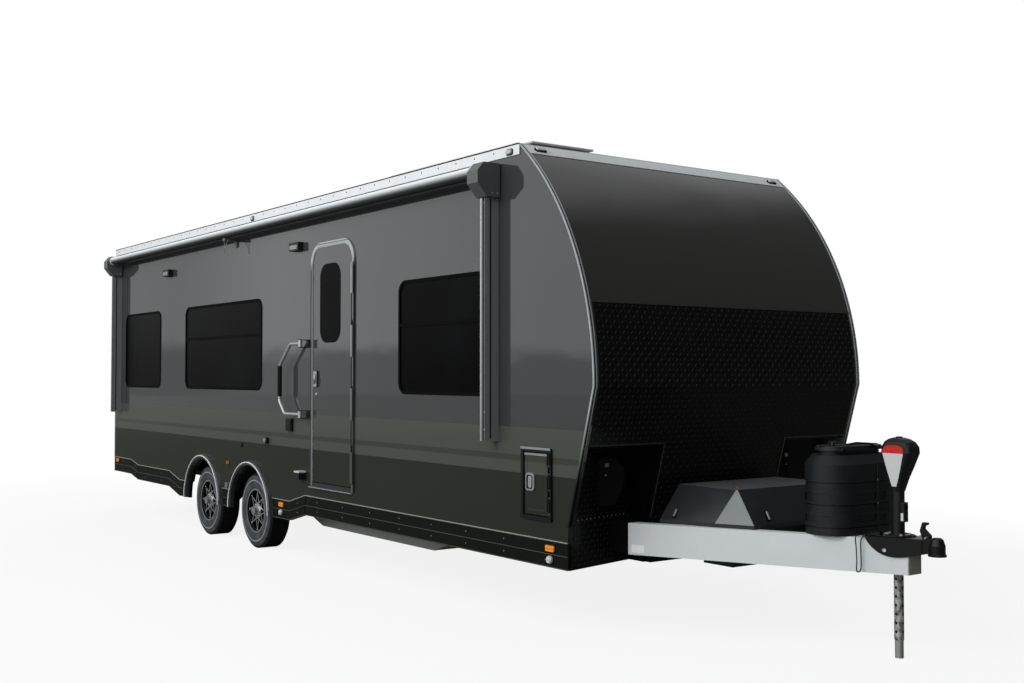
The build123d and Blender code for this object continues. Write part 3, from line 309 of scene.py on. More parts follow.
def roller_fabric():
    """Rolled awning cloth: pale on top and dark on its lower half as painted shade, with a fine weave."""
    finish = Finish("awning_roll")
    # Painted shade: the cloth goes dark below the roll's middle height.
    over = finish.ramp(finish.z, 3.052, 3.112)
    return finish.surface(
        finish.mix(over, (52, 54, 54), (226, 230, 233)), 0.72, specular_ior_level=0.2,
        normal=finish.bump(finish.noise(500, 2, (0.3, 1, 1)), 0.0005, 0.5),
    )


def awning_finish():
    """Arms: painted light, a darker grey on the outer face and a lighter one on the flank, one grey lit two
    ways. Heads: a darker moulded grey.
    """
    finish = Finish("awning_arms")
    head = finish.ramp(finish.z, 2.899, 2.901)
    # Painted light: the outer face and the flank get lit and shaded copies of one grey.
    outer = 1 - finish.ramp(finish.y, -half - 0.1026, -half - 0.1020)
    arm = finish.mix(outer, (122, 126, 127), (84, 88, 88))
    moulding = finish.mix(finish.noise(14, 3, (40, 40, 1)), (78, 80, 81), (94, 96, 97))
    colour = finish.mix(head, arm, moulding)
    return finish.surface(colour, 0.42, (600, 0.0004), specular_ior_level=0.35, coat_weight=0.15)


def from_axle(finish):
    """How far the surface lies from the nearest axle, in the side view."""
    along = abs(finish.x - sum(axle_places) / 2) - (axle_places[0] - axle_places[1]) / 2
    up = finish.z - wheel_z
    return (along * along + up * up).root()


def rim_finish():
    """Black alloy with machined front edges, and a chromed centre cap."""
    finish = Finish("alloy_wheel")
    radius = from_axle(finish)
    out = abs(finish.y)
    face = finish.band(out, wheel_mid + 0.0835, wheel_mid + 0.0850, 0.0003) * (radius < 0.1945)
    cap = (radius < 0.0445) * (out > wheel_mid + 0.0765)
    lip = finish.band(radius, 0.200, 0.2135, 0.001) * (out > wheel_mid + 0.1025)
    bright = face | cap | lip * 0.35
    metal = finish.mix(finish.noise(60), (200, 203, 205), (232, 234, 235))
    return finish.surface(
        finish.mix(bright, (13, 14, 15), metal), 0.30 - bright * 0.12,
        metallic=bright * 0.85, coat_weight=0.25,
    )


def tyre_rubber():
    """Tyre rubber: a bluish bloom on the sidewall, a pale ring as a painted highlight on the raised sidewall
    ring, and a darker tread.
    """
    finish = Finish("tyre_rubber")
    radius = from_axle(finish)
    dust = finish.ramp(finish.noise(11, 5), 0.35, 0.8)
    wall = finish.mix(dust, (52, 56, 58), (78, 82, 86))
    # Painted highlight: a pale band on the raised sidewall ring.
    colour = finish.mix(finish.band(radius, 0.288, 0.296, 0.002), wall, (150, 154, 158))
    colour = finish.mix(finish.ramp(radius, 0.330, 0.345), colour, (19, 20, 21))
    return finish.surface(
        colour, 0.72 + dust * 0.12, specular_ior_level=0.35,
        normal=finish.bump(finish.noise(420), 0.0004, 0.5),
    )


def jack_finish():
    """Black moulding above the beams. Below them, a galvanised tube with a row of holes."""
    finish = Finish("jack_black_and_zinc")
    under = finish.z < beam_top - beam_height + 0.002
    spangle = finish.ramp(finish.noise(46, 4, (1, 1, 0.5)), 0.38, 0.62)
    zinc = finish.mix(spangle, (108, 110, 106), (196, 197, 193))
    step = finish.z.fold(0.026)
    near = abs(finish.x).least(abs(finish.y))
    hole = (step * step + near * near).root() < 0.0085
    zinc = finish.mix(hole, zinc, (22, 22, 21))
    black = finish.mix(finish.ramp(finish.noise(9, 4), 0.3, 0.75), (13, 14, 14), (20, 21, 21))
    return finish.surface(
        finish.mix(under, black, zinc), 0.42, (700, 0.0004),
        metallic=under * 0.5, specular_ior_level=0.35,
    )


def tongue_finish():
    """Even grey white paint, with a bare dark end plate behind the coupler."""
    finish = Finish("tongue_paint")
    paint = finish.mix(finish.noise(5), (206, 211, 213), (218, 223, 225))
    bare = finish.mix(finish.noise(90, 4), (120, 124, 110), (160, 164, 148))
    colour = finish.mix(finish.x > at(1.6452), paint, bare)
    return finish.surface(colour, 0.5, (300, 0.0003), specular_ior_level=0.3)


def fitting_finish():
    """Small fittings on the curb wall: lamps and lids dark, the step handle's box with a painted highlight on
    top.
    """
    finish = Finish("wall_fitting_black")
    # Painted highlight: a pale band over the top of the step handle's box.
    painted_top_highlight = finish.band(finish.z, 0.806, 0.90, 0.0006) * (finish.x > at(-3.9))
    colour = finish.mix(painted_top_highlight, (22, 23, 22), (190, 192, 192))
    colour = finish.mix(finish.band(finish.z, 1.0, 1.4, 0.001), colour, (14, 15, 14))
    colour = finish.mix(finish.z < 0.62, colour, (112, 114, 110))
    return finish.surface(colour, 0.4, (500, 0.0003), specular_ior_level=0.35)


def shroud_finish():
    """Pale moulding with a slot band painted dark as painted shade, for the air conditioner."""
    finish = Finish("air_conditioner_shroud")
    # Painted shade: a dark grey band where the slot under the lid lies in shade.
    slot = finish.band(finish.z, roof_top + 0.200, roof_top + 0.272)
    pale = finish.mix(finish.noise(6), (188, 191, 193), (206, 208, 209))
    return finish.surface(finish.mix(slot, pale, (66, 68, 69)), 0.55, (300, 0.0004))


def solar_cells():
    """Dark cells with fine pale lines between them."""
    finish = Finish("solar_cells")
    line = (finish.y.fold(0.0785) < 0.0018) | (finish.x.fold(0.0785) < 0.0018)
    tint = finish.mix(finish.noise(3, 2), (14, 17, 28), (22, 26, 42))
    return finish.surface(finish.mix(line, tint, (96, 100, 106)), 0.18, coat_weight=0.6)


def lamp(name, colour, ribs=260, glow=0.12):
    """A moulded lamp lens with fine ribs behind a clear face. On the roof's edge it is grey."""
    finish = Finish(name)
    colour = srgb(*colour)
    rib = (finish.z * ribs).wave()
    high = finish.z > 3.15
    lens = finish.mix(finish.ramp(rib, -0.6, 0.8), shade(colour, 0.72), colour)
    return finish.surface(
        finish.mix(high, lens, (176, 180, 182)), 0.15,
        emission_color=finish.mix(high, colour, (0.05, 0.05, 0.05, 1)),
        emission_strength=glow, coat_weight=0.6, normal=finish.bump(rib, 0.0006, 0.6),
    )


paints = {
    "side": side_paint(),
    "nose": flake_paint("nose_paint", (48, 48, 46), (60, 60, 58), dust=0),
    "rear": flake_paint("rear_paint", (60, 61, 62), (74, 75, 77)),
    "tread plate": plain_paint("tread_plate_black", (9, 9, 9), 0.42, coat=0.1, specular=0.2),
    "tread bars": plain_paint("tread_bar_black", (17, 18, 18), 0.26, coat=0.5),
    "sill": plain_paint("sill_black", (14, 17, 13), 0.45, specular=0.1),
    # Light greys. Along the sill's edges they are painted highlights.
    "lip": plain_paint("lip_edge", (150, 152, 144), 0.35, 0.4),
    "lip dull": plain_paint("lip_edge_dull", (70, 74, 66), 0.4, 0.3),
    "black": plain_paint("satin_black", (13, 13, 14), 0.42, specular=0.25),
    "gap": plain_paint("seal_black", (7, 7, 7), 0.7, specular=0.1),
    "flare": plain_paint("flare_grey_black", (46, 48, 51), 0.26, coat=0.8, specular=0.5),
    "chassis": plain_paint("chassis_black", (14, 14, 15), 0.5, specular=0.2),
    "coupler": plain_paint("coupler_black", (9, 9, 9), 0.35, coat=0.15),
    "beam": tongue_finish(),
    "roof": plain_paint("roof_membrane", (205, 207, 207), 0.75),
    "shroud": plain_paint("roof_shroud", (196, 199, 200), 0.55),
    "air conditioner": shroud_finish(),
    "slot": plain_paint("roof_unit_slot_painted_shade", (62, 64, 65), 0.7, specular=0.1),
    "trim": plain_paint("trim_white", (226, 230, 233), 0.4, cloudy=0.95),
    "band": plain_paint("band_aluminium", (226, 231, 233), 0.4, cloudy=0.93),
    "door frame": door_metal(),
    "edge strip": edge_strip(),
    "bright": brushed("bright_trim", (205, 208, 210), roughness=0.25, metallic=0.7),
    "deck": brushed("deck_aluminium", (150, 152, 153), roughness=0.42),
    "well": plain_paint("well_black", (12, 12, 12), 0.7, specular=0.1),
    "pan": plain_paint("pan_aluminium", (146, 150, 146), 0.45, 0.3),
    "awning roll": roller_fabric(),
    "awning": awning_finish(),
    # A lighter grey. On the awning heads' curb faces it is painted light.
    "head light": plain_paint("head_light_grey", (128, 131, 133), 0.4),
    "glass": tinted_glass(),
    "rim black": plain_paint("window_rim_black", (7, 7, 7), 0.6, specular=0.05),
    "tyre": tyre_rubber(),
    "wheel": rim_finish(),
    "chrome": plain_paint("chrome", (226, 228, 230), 0.08, 1.0, grain=0.0),
    "zinc": brushed("zinc_plate", (176, 178, 174), (30, 30, 2), 0.4, 0.6),
    "cover": plain_paint("moulded_cover", (21, 25, 27), 0.46, grain=0.0008, specular=0.35),
    "jack": jack_finish(),
    # Storage box greys: the box's own dark grey, with its top and corner facets painted lighter as painted
    # light.
    "box": plain_paint("box_grey", (44, 47, 50), 0.42, 0.1),
    "box top": plain_paint("box_top_painted_light", (98, 101, 102), 0.42, 0.1),
    "facet": plain_paint("facet_painted_light", (136, 141, 144), 0.42, 0.1, cloudy=0.95),
    "foam": plain_paint("foam_grip", (22, 22, 23), 0.9, grain=0.001),
    "amber": lamp("amber_lens", (236, 142, 16)),
    "red": lamp("red_lens", (176, 22, 14)),
    "clear": lamp("clear_lens", (206, 208, 214), glow=0.05),
    "smoked": lamp("smoked_lens", (128, 131, 131), glow=0.0),
    "orange": plain_paint("marker_orange", (150, 62, 24), 0.5),
    "white": plain_paint("white_plastic", (205, 207, 207), 0.4, cloudy=0.95),
    "sticker": plain_paint("sticker_white", (246, 248, 249), 0.5, cloudy=0.97),
    "label red": plain_paint("label_red", (196, 34, 20), 0.45, cloudy=0.95),
    "cord": plain_paint("cord_sheath", (17, 17, 18), 0.5),
    "fitting": fitting_finish(),
    "cells": solar_cells(),
}

cad_paints = {
    "side": ["side_wall_curb", "side_wall_street", "entry_door", "baggage_door_curb",
             "baggage_door_street"],
    "nose": ["nose_panel"],
    "rear": ["rear_frame", "ramp_door"],
    "tread plate": ["rock_guard", "corner_recesses"],
    "sill": ["side_sills"],
    "roof": ["roof_panel"],
    "air conditioner": ["air_conditioner"],
    "shroud": ["vent_bases", "vent_lid_front", "vent_lid_rear", "solar_panels"],
    "trim": ["roof_trim"],
    "door frame": ["entry_door_frame"],
    "bright": ["grab_handle"],
    "pan": ["belly_pan"],
    "deck": ["floor_deck"],
    "well": ["wheel_wells"],
    "chassis": ["main_rails", "cross_members", "axles"],
    "coupler": ["coupler"],
    "beam": ["tongue_beams"],
    "flare": ["wheel_flares"],
    "black": ["baggage_frames", "handle_brackets"],
    "rim black": ["window_rims"],
    "glass": ["entry_door_window", "window_panes"],
    "awning roll": ["awning_roller"],
    "awning": ["awning_arms"],
    "cover": ["propane_cover"],
    "jack": ["tongue_jack"],
    "box": ["storage_tray", "storage_cover"],
    "zinc": ["jack_leg"],
    "amber": ["side_lights"],
    "red": ["rear_lamps"],
    "fitting": ["wall_fittings"],
    "cord": ["lead_cord"],
    "wheel": [name for name in nodes if name.startswith("rim_")],
    "tyre": [name for name in nodes if name.startswith("tyre_")],
}
for paint, names in cad_paints.items():
    for name in names:
        nodes[name].data.materials.clear()
        nodes[name].data.materials.append(paints[paint])


# Camera and cord


def placed(name, data):
    """An object in the scene."""
    thing = bpy.data.objects.new(name, data)
    bpy.context.scene.collection.objects.link(thing)
    return thing


def camera():
    lens = bpy.data.cameras.new("camera")
    lens.lens = 41.92
    lens.sensor_width = 36
    lens.clip_end = 200
    eye = placed("camera", lens)
    turn = Matrix.Rotation(radians(54.09), 4, "Z") @ Matrix.Rotation(radians(91.60), 4, "X")
    eye.matrix_world = Matrix.Translation((4.418, -6.035, 1.676)) @ turn
    bpy.context.scene.camera = eye


def lead():
    """The jack's lead: round the jack, over the curb beam in a hanging loop and back."""
    route = [
        (-0.062, 0.080, 0.731), (-0.034, 0.080, 0.731), (0.004, 0.091, 0.726), (0.046, 0.088, 0.7238),
        (0.080, 0.060, 0.7238), (0.097, 0.018, 0.7238), (0.094, -0.028, 0.7238), (0.066, -0.068, 0.7238),
        (0.022, -0.095, 0.7238), (-0.026, -0.110, 0.724), (-0.070, -0.128, 0.725), (-0.106, -0.160, 0.729),
        (-0.120, -0.193, 0.708), (-0.122, -0.196, 0.668), (-0.122, -0.192, 0.616), (-0.123, -0.190, 0.564),
        (-0.123, -0.191, 0.512), (-0.116, -0.244, 0.510), (-0.113, -0.243, 0.562), (-0.116, -0.240, 0.616),
        (-0.120, -0.240, 0.668), (-0.130, -0.234, 0.706), (-0.144, -0.206, 0.730), (-0.148, -0.166, 0.722),
        (-0.150, -0.128, 0.724), (-0.143, -0.098, 0.728), (-0.126, -0.080, 0.731), (-0.100, -0.080, 0.731),
    ]
    curve = bpy.data.curves.new("lead", "CURVE")
    curve.dimensions = "3D"
    curve.bevel_depth = 0.0035
    curve.bevel_resolution = 3
    curve.resolution_u = 6
    curve.use_fill_caps = True
    line = curve.splines.new("NURBS")
    line.points.add(len(route) - 1)
    for point, place in zip(line.points, route):
        point.co = (*place, 1)
    line.order_u = 3
    line.use_endpoint_u = True
    curve.materials.append(paints["cord"])
    piece = placed("lead", curve)
    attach(piece, "trailer")
    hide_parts("lead_cord")


camera()
lead()

# Making pieces. A part is its points and its faces, and a piece is made of a list of parts.


def joined(name, parts, paint):
    """One mesh of several parts, smooth but for its sharp edges."""
    points, faces = [], []
    for part_points, part_faces in parts:
        faces += [[len(points) + index for index in face] for face in part_faces]
        points += [tuple(point) for point in part_points]
    mesh = bpy.data.meshes.new(name)
    mesh.from_pydata(points, [], faces)
    shape = bmesh.new()
    shape.from_mesh(mesh)
    bmesh.ops.recalc_face_normals(shape, faces=shape.faces)
    shape.to_mesh(mesh)
    shape.free()
    mesh.shade_smooth()
    mesh.set_sharp_from_angle(angle=radians(35))
    mesh.materials.append(paints[paint])
    return mesh


def made(name, parts, paint, body="trailer", bevel=0.0, segments=2):
    """A finished piece, riding on a body."""
    piece = placed(name, joined(name, parts, paint))
    if bevel:
        edge = piece.modifiers.new("edge", "BEVEL")
        edge.width = bevel
        edge.segments = segments
        edge.limit_method = "ANGLE"
        edge.angle_limit = radians(40)
    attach(piece, body)
    return piece


def block(low, high):
    """A box between two opposite corners."""
    points = [(x, y, z) for x in (low[0], high[0]) for y in (low[1], high[1]) for z in (low[2], high[2])]
    return points, [(0, 1, 3, 2), (4, 6, 7, 5), (0, 4, 5, 1), (2, 3, 7, 6), (0, 2, 6, 4), (1, 5, 7, 3)]


def side_block(side, low, high):
    """A box on a side wall between two corners of (x, distance out of the wall, z)."""
    return block(*((x, side * (half + out), z) for x, out, z in (low, high)))


def strip(near, far, low, high):
    """The outline of a flat strip, for a sweep."""
    return [(near, low), (far, low), (far, high), (near, high)]


def wire(radius, steps=6):
    """The outline of a wire, for a sweep."""
    return [(radius * cos(2 * pi * i / steps), radius * sin(2 * pi * i / steps)) for i in range(steps)]


def sweep(path, outline, across):
    """Carries an outline along a flat path. Its points are (share along across, share outwards)."""
    across = Vector(across).normalized()
    path = [Vector(point) for point in path]
    legs = [(end - start).normalized() for start, end in zip(path, path[1:])]
    points = []
    for point, arrive, leave in zip(path, [legs[0], *legs], [*legs, legs[-1]]):
        run = (arrive + leave).normalized()
        outward = across.cross(run).normalized()
        stretch = 1 / max(0.3, run.dot(arrive))
        points += [point + across * u + outward * v * stretch for u, v in outline]
    count = len(outline)
    faces = [
        (here + j, here + (j + 1) % count, here + count + (j + 1) % count, here + count + j)
        for here in range(0, len(points) - count, count) for j in range(count)
    ]
    return points, faces + [range(count), range(len(points) - 1, len(points) - count - 1, -1)]


def lathe(outline, centre, axis, steps=48, ring=False):
    """Turns an outline of (radius, height) points round an axis. It closes at radius 0."""
    axis = Vector(axis).normalized()
    side = axis.orthogonal().normalized()
    points, rings, faces = [], [], []
    for radius, height in outline:
        count = steps if radius else 1
        rings.append([len(points) + i % count for i in range(steps)])
        middle = Vector(centre) + axis * height
        points += [
            middle + Matrix.Rotation(2 * pi * i / steps, 3, axis) @ side * radius for i in range(count)
        ]
    for here, there in zip(rings, rings[1:] + (rings[:1] if ring else [])):
        for i in range(steps):
            j = (i + 1) % steps
            corners = list(dict.fromkeys((here[i], here[j], there[j], there[i])))
            if len(corners) > 2:
                faces.append(corners)
    return points, faces


def plate(outline, thickness):
    """A flat plate from its outline, as thick as given towards its facing."""
    low = [Vector(point) for point in outline]
    facing = (low[1] - low[0]).cross(low[2] - low[0]).normalized()
    count = len(low)
    rim = [(j, (j + 1) % count, (j + 1) % count + count, j + count) for j in range(count)]
    faces = [*rim, range(count, 2 * count), range(count - 1, -1, -1)]
    return low + [point + facing * thickness for point in low], faces


def pad(centre, facing, upright, width, height, depth, radius, steps=5):
    """A rounded rectangular pad that stands out from a surface by its depth."""
    facing, upright = Vector(facing).normalized(), Vector(upright).normalized()
    across = upright.cross(facing)
    outline = []
    for i, (a, b) in enumerate(((1, 1), (-1, 1), (-1, -1), (1, -1))):
        for step in range(steps + 1):
            angle = pi / 2 * (i + step / steps)
            u = a * (width / 2 - radius) + radius * cos(angle)
            v = b * (height / 2 - radius) + radius * sin(angle)
            outline.append(Vector(centre) + across * u + upright * v)
    return plate(outline, depth)


def side_pad(side, x, out, z, *sizes):
    """A pad on a side wall. Its sizes are width, height, depth and radius."""
    return pad((x, side * (half + out), z), (0, side, 0), (0, 0, 1), *sizes)


def repeat_tree():
    """Geometry nodes that put a shape at each place, turned by the place's two directions."""
    tree = bpy.data.node_groups.new("shape at places", "GeometryNodeTree")
    for label, kind in (("Places", "Geometry"), ("Shape", "Object"), ("Paint", "Material")):
        tree.interface.new_socket(label, in_out="INPUT", socket_type="NodeSocket" + kind)
    tree.interface.new_socket("Fittings", in_out="OUTPUT", socket_type="NodeSocketGeometry")
    add, link = tree.nodes.new, tree.links.new
    inputs, outputs = add("NodeGroupInput"), add("NodeGroupOutput")
    shape, instances = add("GeometryNodeObjectInfo"), add("GeometryNodeInstanceOnPoints")
    real, paint = add("GeometryNodeRealizeInstances"), add("GeometryNodeSetMaterial")
    turn = add("FunctionNodeAxesToRotation")
    turn.primary_axis = "Z"
    turn.secondary_axis = "X"
    for label, socket in (("facing", "Primary Axis"), ("along", "Secondary Axis")):
        read = add("GeometryNodeInputNamedAttribute")
        read.data_type = "FLOAT_VECTOR"
        read.inputs["Name"].default_value = label
        link(read.outputs["Attribute"], turn.inputs[socket])
    for source, out, target, into in (
        (inputs, "Places", instances, "Points"), (inputs, "Shape", shape, "Object"),
        (shape, "Geometry", instances, "Instance"), (turn, "Rotation", instances, "Rotation"),
        (instances, "Instances", real, "Geometry"), (real, "Geometry", paint, "Geometry"),
        (inputs, "Paint", paint, "Material"), (paint, "Geometry", outputs, "Fittings"),
    ):
        link(source.outputs[out], target.inputs[into])
    return tree


shape_at_places = repeat_tree()


def repeated(name, parts, places, paint, body="trailer"):
    """One piece with a copy of a small shape at each (point, facing, along)."""
    pattern = bpy.data.objects.new(name + "_pattern", joined(name + "_pattern", parts, paint))
    mesh = bpy.data.meshes.new(name + "_places")
    mesh.from_pydata([tuple(place[0]) for place in places], [], [])
    for label, column in (("facing", 1), ("along", 2)):
        attribute = mesh.attributes.new(label, "FLOAT_VECTOR", "POINT")
        attribute.data.foreach_set("vector", [x for place in places for x in place[column]])
    piece = placed(name, mesh)
    modifier = piece.modifiers.new("places", "NODES")
    modifier.node_group = shape_at_places
    values = {"Shape": pattern, "Paint": paints[paint]}
    for socket in shape_at_places.interface.items_tree:
        if socket.name in values:
            modifier[socket.identifier] = values[socket.name]
    bpy.context.view_layer.update()
    ready = piece.evaluated_get(bpy.context.evaluated_depsgraph_get())
    plain = bpy.data.meshes.new_from_object(ready)
    plain.name = name
    piece.modifiers.clear()
    piece.data = plain
    bpy.data.objects.remove(pattern)
    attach(piece, body)


def screw(radius=0.006, height=0.003):
    """A low domed screw head."""
    outline = [(radius, 0), (radius, height * 0.4), (radius * 0.7, height * 0.85), (0, height)]
    return [lathe(outline, (0, 0, 0), (0, 0, 1), 10)]


def hex_bolt(radius, height):
    """A hexagonal head on a washer."""
    washer = [(radius * 1.5, 0), (radius * 1.5, 0.002), (0, 0.002)]
    head = [(radius, 0.002), (radius, height), (radius * 0.8, height + 0.001), (0, height + 0.001)]
    return [lathe(washer, (0, 0, 0), (0, 0, 1), 16), lathe(head, (0, 0, 0), (0, 0, 1), 6)]


def on_side(side, x, z, out=0.0):
    """A point on a side wall, with the wall's facing and its length as directions."""
    return (x, side * (half + out), z), (0, side, 0), (1, 0, 0)


def surface_of(*names):
    """The joined outer surface of some CAD nodes, to place pieces on."""
    points, faces = [], []
    for name in names:
        mesh = nodes[name].data
        faces += [[len(points) + index for index in face.vertices] for face in mesh.polygons]
        points += [vertex.co.copy() for vertex in mesh.vertices]
    return BVHTree.FromPolygons(points, faces)


def found(surface, start):
    """Where a line from start towards the rear meets a surface, with its facing, or None."""
    point, facing, index, distance = surface.ray_cast(Vector(start), Vector((-1, 0, 0)))
    if point is None:
        return None
    return point, -facing if facing.x < 0 else facing


# Nose: tread plate bars, seams and edge trims


def cap_point(angle, y, grow=0.0):
    """A point on the rounded cap, by its angle over the knee."""
    reach = cap_radius + grow
    return cap_centre + Vector((reach * cos(angle), y, reach * sin(angle)))


def cap_line(low, high, steps):
    """Points up the rounded cap in the side view, between two angles."""
    return [cap_point(low + (high - low) * i / steps, 0) for i in range(steps + 1)]


def guard_place(z):
    """The rock guard's slope at one height."""
    return foot.x + (knee.x - foot.x) * (z - foot.z) / (knee.z - foot.z)


def tread_bars(pitch=0.034, length=0.030, width=0.008, height=0.0022, taper=0.45):
    """Raised bars in a chequered pattern on the rock guard and in the corner recesses."""
    ends = [(-length / 2, 0), (0, -width / 2), (length / 2, 0), (0, width / 2)]
    points = [(x, y, 0) for x, y in ends] + [(x * taper, y * taper, height) for x, y in ends]
    faces = [(i, (i + 1) % 4, (i + 1) % 4 + 4, i + 4) for i in range(4)] + [(4, 5, 6, 7)]
    surface = surface_of("rock_guard", "corner_recesses")
    across = Vector((0, 1, 0))
    places = []
    for row in range(int((guard_top - 0.44) / pitch)):
        for column in range(int((2 * half - 0.05) / pitch)):
            hit = found(surface, (0, -half + 0.035 + column * pitch, 0.45 + row * pitch))
            if hit and hit[1].x >= 0.5:
                up = hit[1].cross(across).normalized()
                places.append((*hit, across + (up if (row + column) % 2 else -up)))
    repeated("tread_bars", [(points, faces)], places, "tread bars")


def nose_trims():
    """Two bright strips with a dark channel between them down each edge of the nose."""
    line = [foot, knee, *cap_line(0.02, cap_rise, 40)]
    for name, paint, near, far, height in (
        # name, paint, distances from the body's corner, height over the skin
        ("nose_edge_strips", "edge strip", -0.0025, 0.005, 0.004),
        ("nose_edge_inner_strips", "edge strip", 0.016, 0.026, 0.004),
        ("nose_edge_channels", "gap", 0.005, 0.016, 0.0015),
    ):
        wide = (far - near) / 2
        made(name, [
            sweep([(p.x, side * (half - (near + far) / 2), p.z) for p in line],
                  strip(-wide, wide, -height, height), (0, side, 0))
            for side in both
        ], paint)
    made("nose_side_edges", [
        sweep([(p.x - 0.006, side * half, p.z) for p in line],
              strip(-0.001, 0.0025, -0.004, 0.003), (0, side, 0))
        for side in both
    ], "edge strip")


def nose_band():
    """The light band along the top of the nose, with an oval marker lamp near each end."""
    depth = 0.110 / cap_radius
    wide = half - 0.026
    path = cap_line(cap_rise - depth, cap_rise, 6)
    made("nose_top_band", [sweep(path, strip(-wide, wide, -0.002, 0.004), (0, 1, 0))], "band")
    angle = cap_rise - depth * 0.55
    out = (cap_point(angle, 0) - cap_centre).normalized()
    up = out.cross((0, 1, 0))
    centres = [cap_point(angle, y, 0.004) for y in (-1.150, 1.150)]
    made("nose_lamp_bases", [pad(c, out, up, 0.100, 0.044, 0.006, 0.020) for c in centres], "gap")
    lenses = [pad(c + out * 0.006, out, up, 0.080, 0.030, 0.012, 0.014) for c in centres]
    made("nose_lamp_lenses", lenses, "white", bevel=0.004)


def guard_seams():
    """The light strip over the rock guard, the seams over the corner recesses and their rivets."""
    wide = half - 0.026
    path = [cap_point(guard_rise + step * 0.003, 0) for step in (-1, 0, 1)]
    top_strip = sweep(path, strip(-wide, wide, -0.001, 0.003), (0, 1, 0))
    made("guard_top_strip", [top_strip], "lip dull")
    x = guard_place(recess_high) + 0.001
    edges = []
    for side in both:
        edges.append(block((x - 0.004, side * 0.590, recess_high - 0.003),
                           (x + 0.002, side * (half - 0.030), recess_high + 0.004)))
        path = [(guard_place(z) + 0.001, side * 0.588, z) for z in (recess_low, recess_high)]
        edges.append(sweep(path, wire(0.003), (0, 1, 0)))
    made("recess_edges", edges, "lip dull")
    surface = surface_of("rock_guard", "corner_recesses")
    hits = [found(surface, (0, side * (0.66 + step * 0.045), 0.735)) for side in both for step in range(12)]
    places = [(*hit, (0, 1, 0)) for hit in hits if hit]
    repeated("recess_rivets", screw(0.005, 0.003), places, "zinc")


def recess_pods():
    """A low rounded cover with a latch on the back panel of each corner recess."""
    surface = surface_of("corner_recesses")
    outline = [(-0.075, -0.165), (0.075, -0.165), (0.150, -0.02), (0.150, 0.10), (0.08, 0.170),
               (-0.08, 0.170), (-0.150, 0.10), (-0.150, -0.02)]
    covers, latches = [], []
    up = Vector((0, 0, 1))
    for side in both:
        facing = Vector((0.970, side * 0.243, 0)).normalized()
        across = up.cross(facing)
        place = found(surface, (at(-0.118) + 0.3, side * 0.880, 0.965))[0]
        covers.append(plate([place + across * u + up * v for u, v in outline], 0.022))
        latches.append(block(place + Vector((0.020, -0.016, 0.100)), place + Vector((0.034, 0.016, 0.125))))
        knob = place + facing * 0.022 + up * 0.045
        latches.append(pad(knob, facing, up, 0.014, 0.014, 0.008, 0.006))
    made("recess_pods", covers, "tread plate", bevel=0.012, segments=3)
    made("recess_pod_latches", latches, "zinc")


tread_bars()
nose_trims()
nose_band()
guard_seams()
recess_pods()

# Roof edge and roof


def roof_edges():
    """A dark seal along the top of the roof trim, and its row of rivets."""
    spacing = 0.24
    made("roof_edge_seals", [
        side_block(side, (body_rear, 0.009, roof_top + 0.002), (roof_front, 0.004, roof_top + 0.0105))
        for side in both
    ], "gap")
    places = [
        on_side(side, body_rear + (step + 0.5) * spacing, roof_top - 0.022, 0.008)
        for side in both for step in range(int((roof_front - body_rear) / spacing))
    ]
    repeated("roof_trim_rivets", screw(), places, "sill")


def membrane_edges():
    """The roof membrane's turned edge along both sides and its lap seams."""
    low = roof_top + 0.0005
    parts = [
        side_block(side, (body_rear + 0.01, -0.010, low), (roof_front - 0.05, -0.080, roof_top + 0.010))
        for side in both
    ]
    for share in (0.22, 0.47, 0.72):
        x = body_rear + share * (roof_front - body_rear)
        parts.append(block((x - 0.04, -half + 0.05, low), (x + 0.04, half - 0.05, roof_top + 0.004)))
    made("roof_membrane_laps", parts, "shroud")


def roof_machines():
    """The air conditioner's grilles, lid and slot, the solar cells, and ribs on the vent lids."""
    x, length, width = at(-2.100), 0.900, 0.660
    grilles = []
    for step in range(5):
        low = roof_top + 0.100 + step * 0.018
        high = low + 0.010
        end = x + length / 2
        grilles.append(block((end - 0.004, 0.050, low), (end + 0.003, 0.205, high)))
        grilles += [
            block((x - 0.280, side * (width / 2 - 0.004), low), (x + 0.280, side * (width / 2 + 0.003), high))
            for side in both
        ]
    made("air_conditioner_grilles", grilles, "gap")
    under = roof_top + 0.300
    lid = block((x - 0.440, -0.322, under), (x + 0.440, 0.322, roof_top + 0.319))
    made("air_conditioner_lid", [lid], "shroud", bevel=0.008)
    # Painted shade: a dark grey block in the slot under the lid.
    slot = block((x - 0.425, -0.308, roof_top + 0.202), (x + 0.425, 0.308, under))
    made("air_conditioner_slot", [slot], "slot", bevel=0.030)
    cells = []
    for place, top in ((at(-3.610), roof_top + 0.052), (at(-1.690), roof_top + 0.080)):
        cells.append(block((place - 0.860, -1.083, top - 0.001), (place + 0.860, -0.477, top + 0.0015)))
    made("solar_cells", cells, "cells")
    for lid in ("vent_lid_front", "vent_lid_rear"):
        low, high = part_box(lid)
        ribs = []
        for y in (-0.120, -0.060, 0, 0.060, 0.120):
            ribs.append(block((low.x + 0.05, y - 0.006, high.z - 0.002),
                              (high.x - 0.075, y + 0.006, high.z + 0.004)))
        made(lid.replace("lid", "lid_ribs"), ribs, "shroud", lid, bevel=0.003)


roof_edges()
membrane_edges()
roof_machines()

# Awning


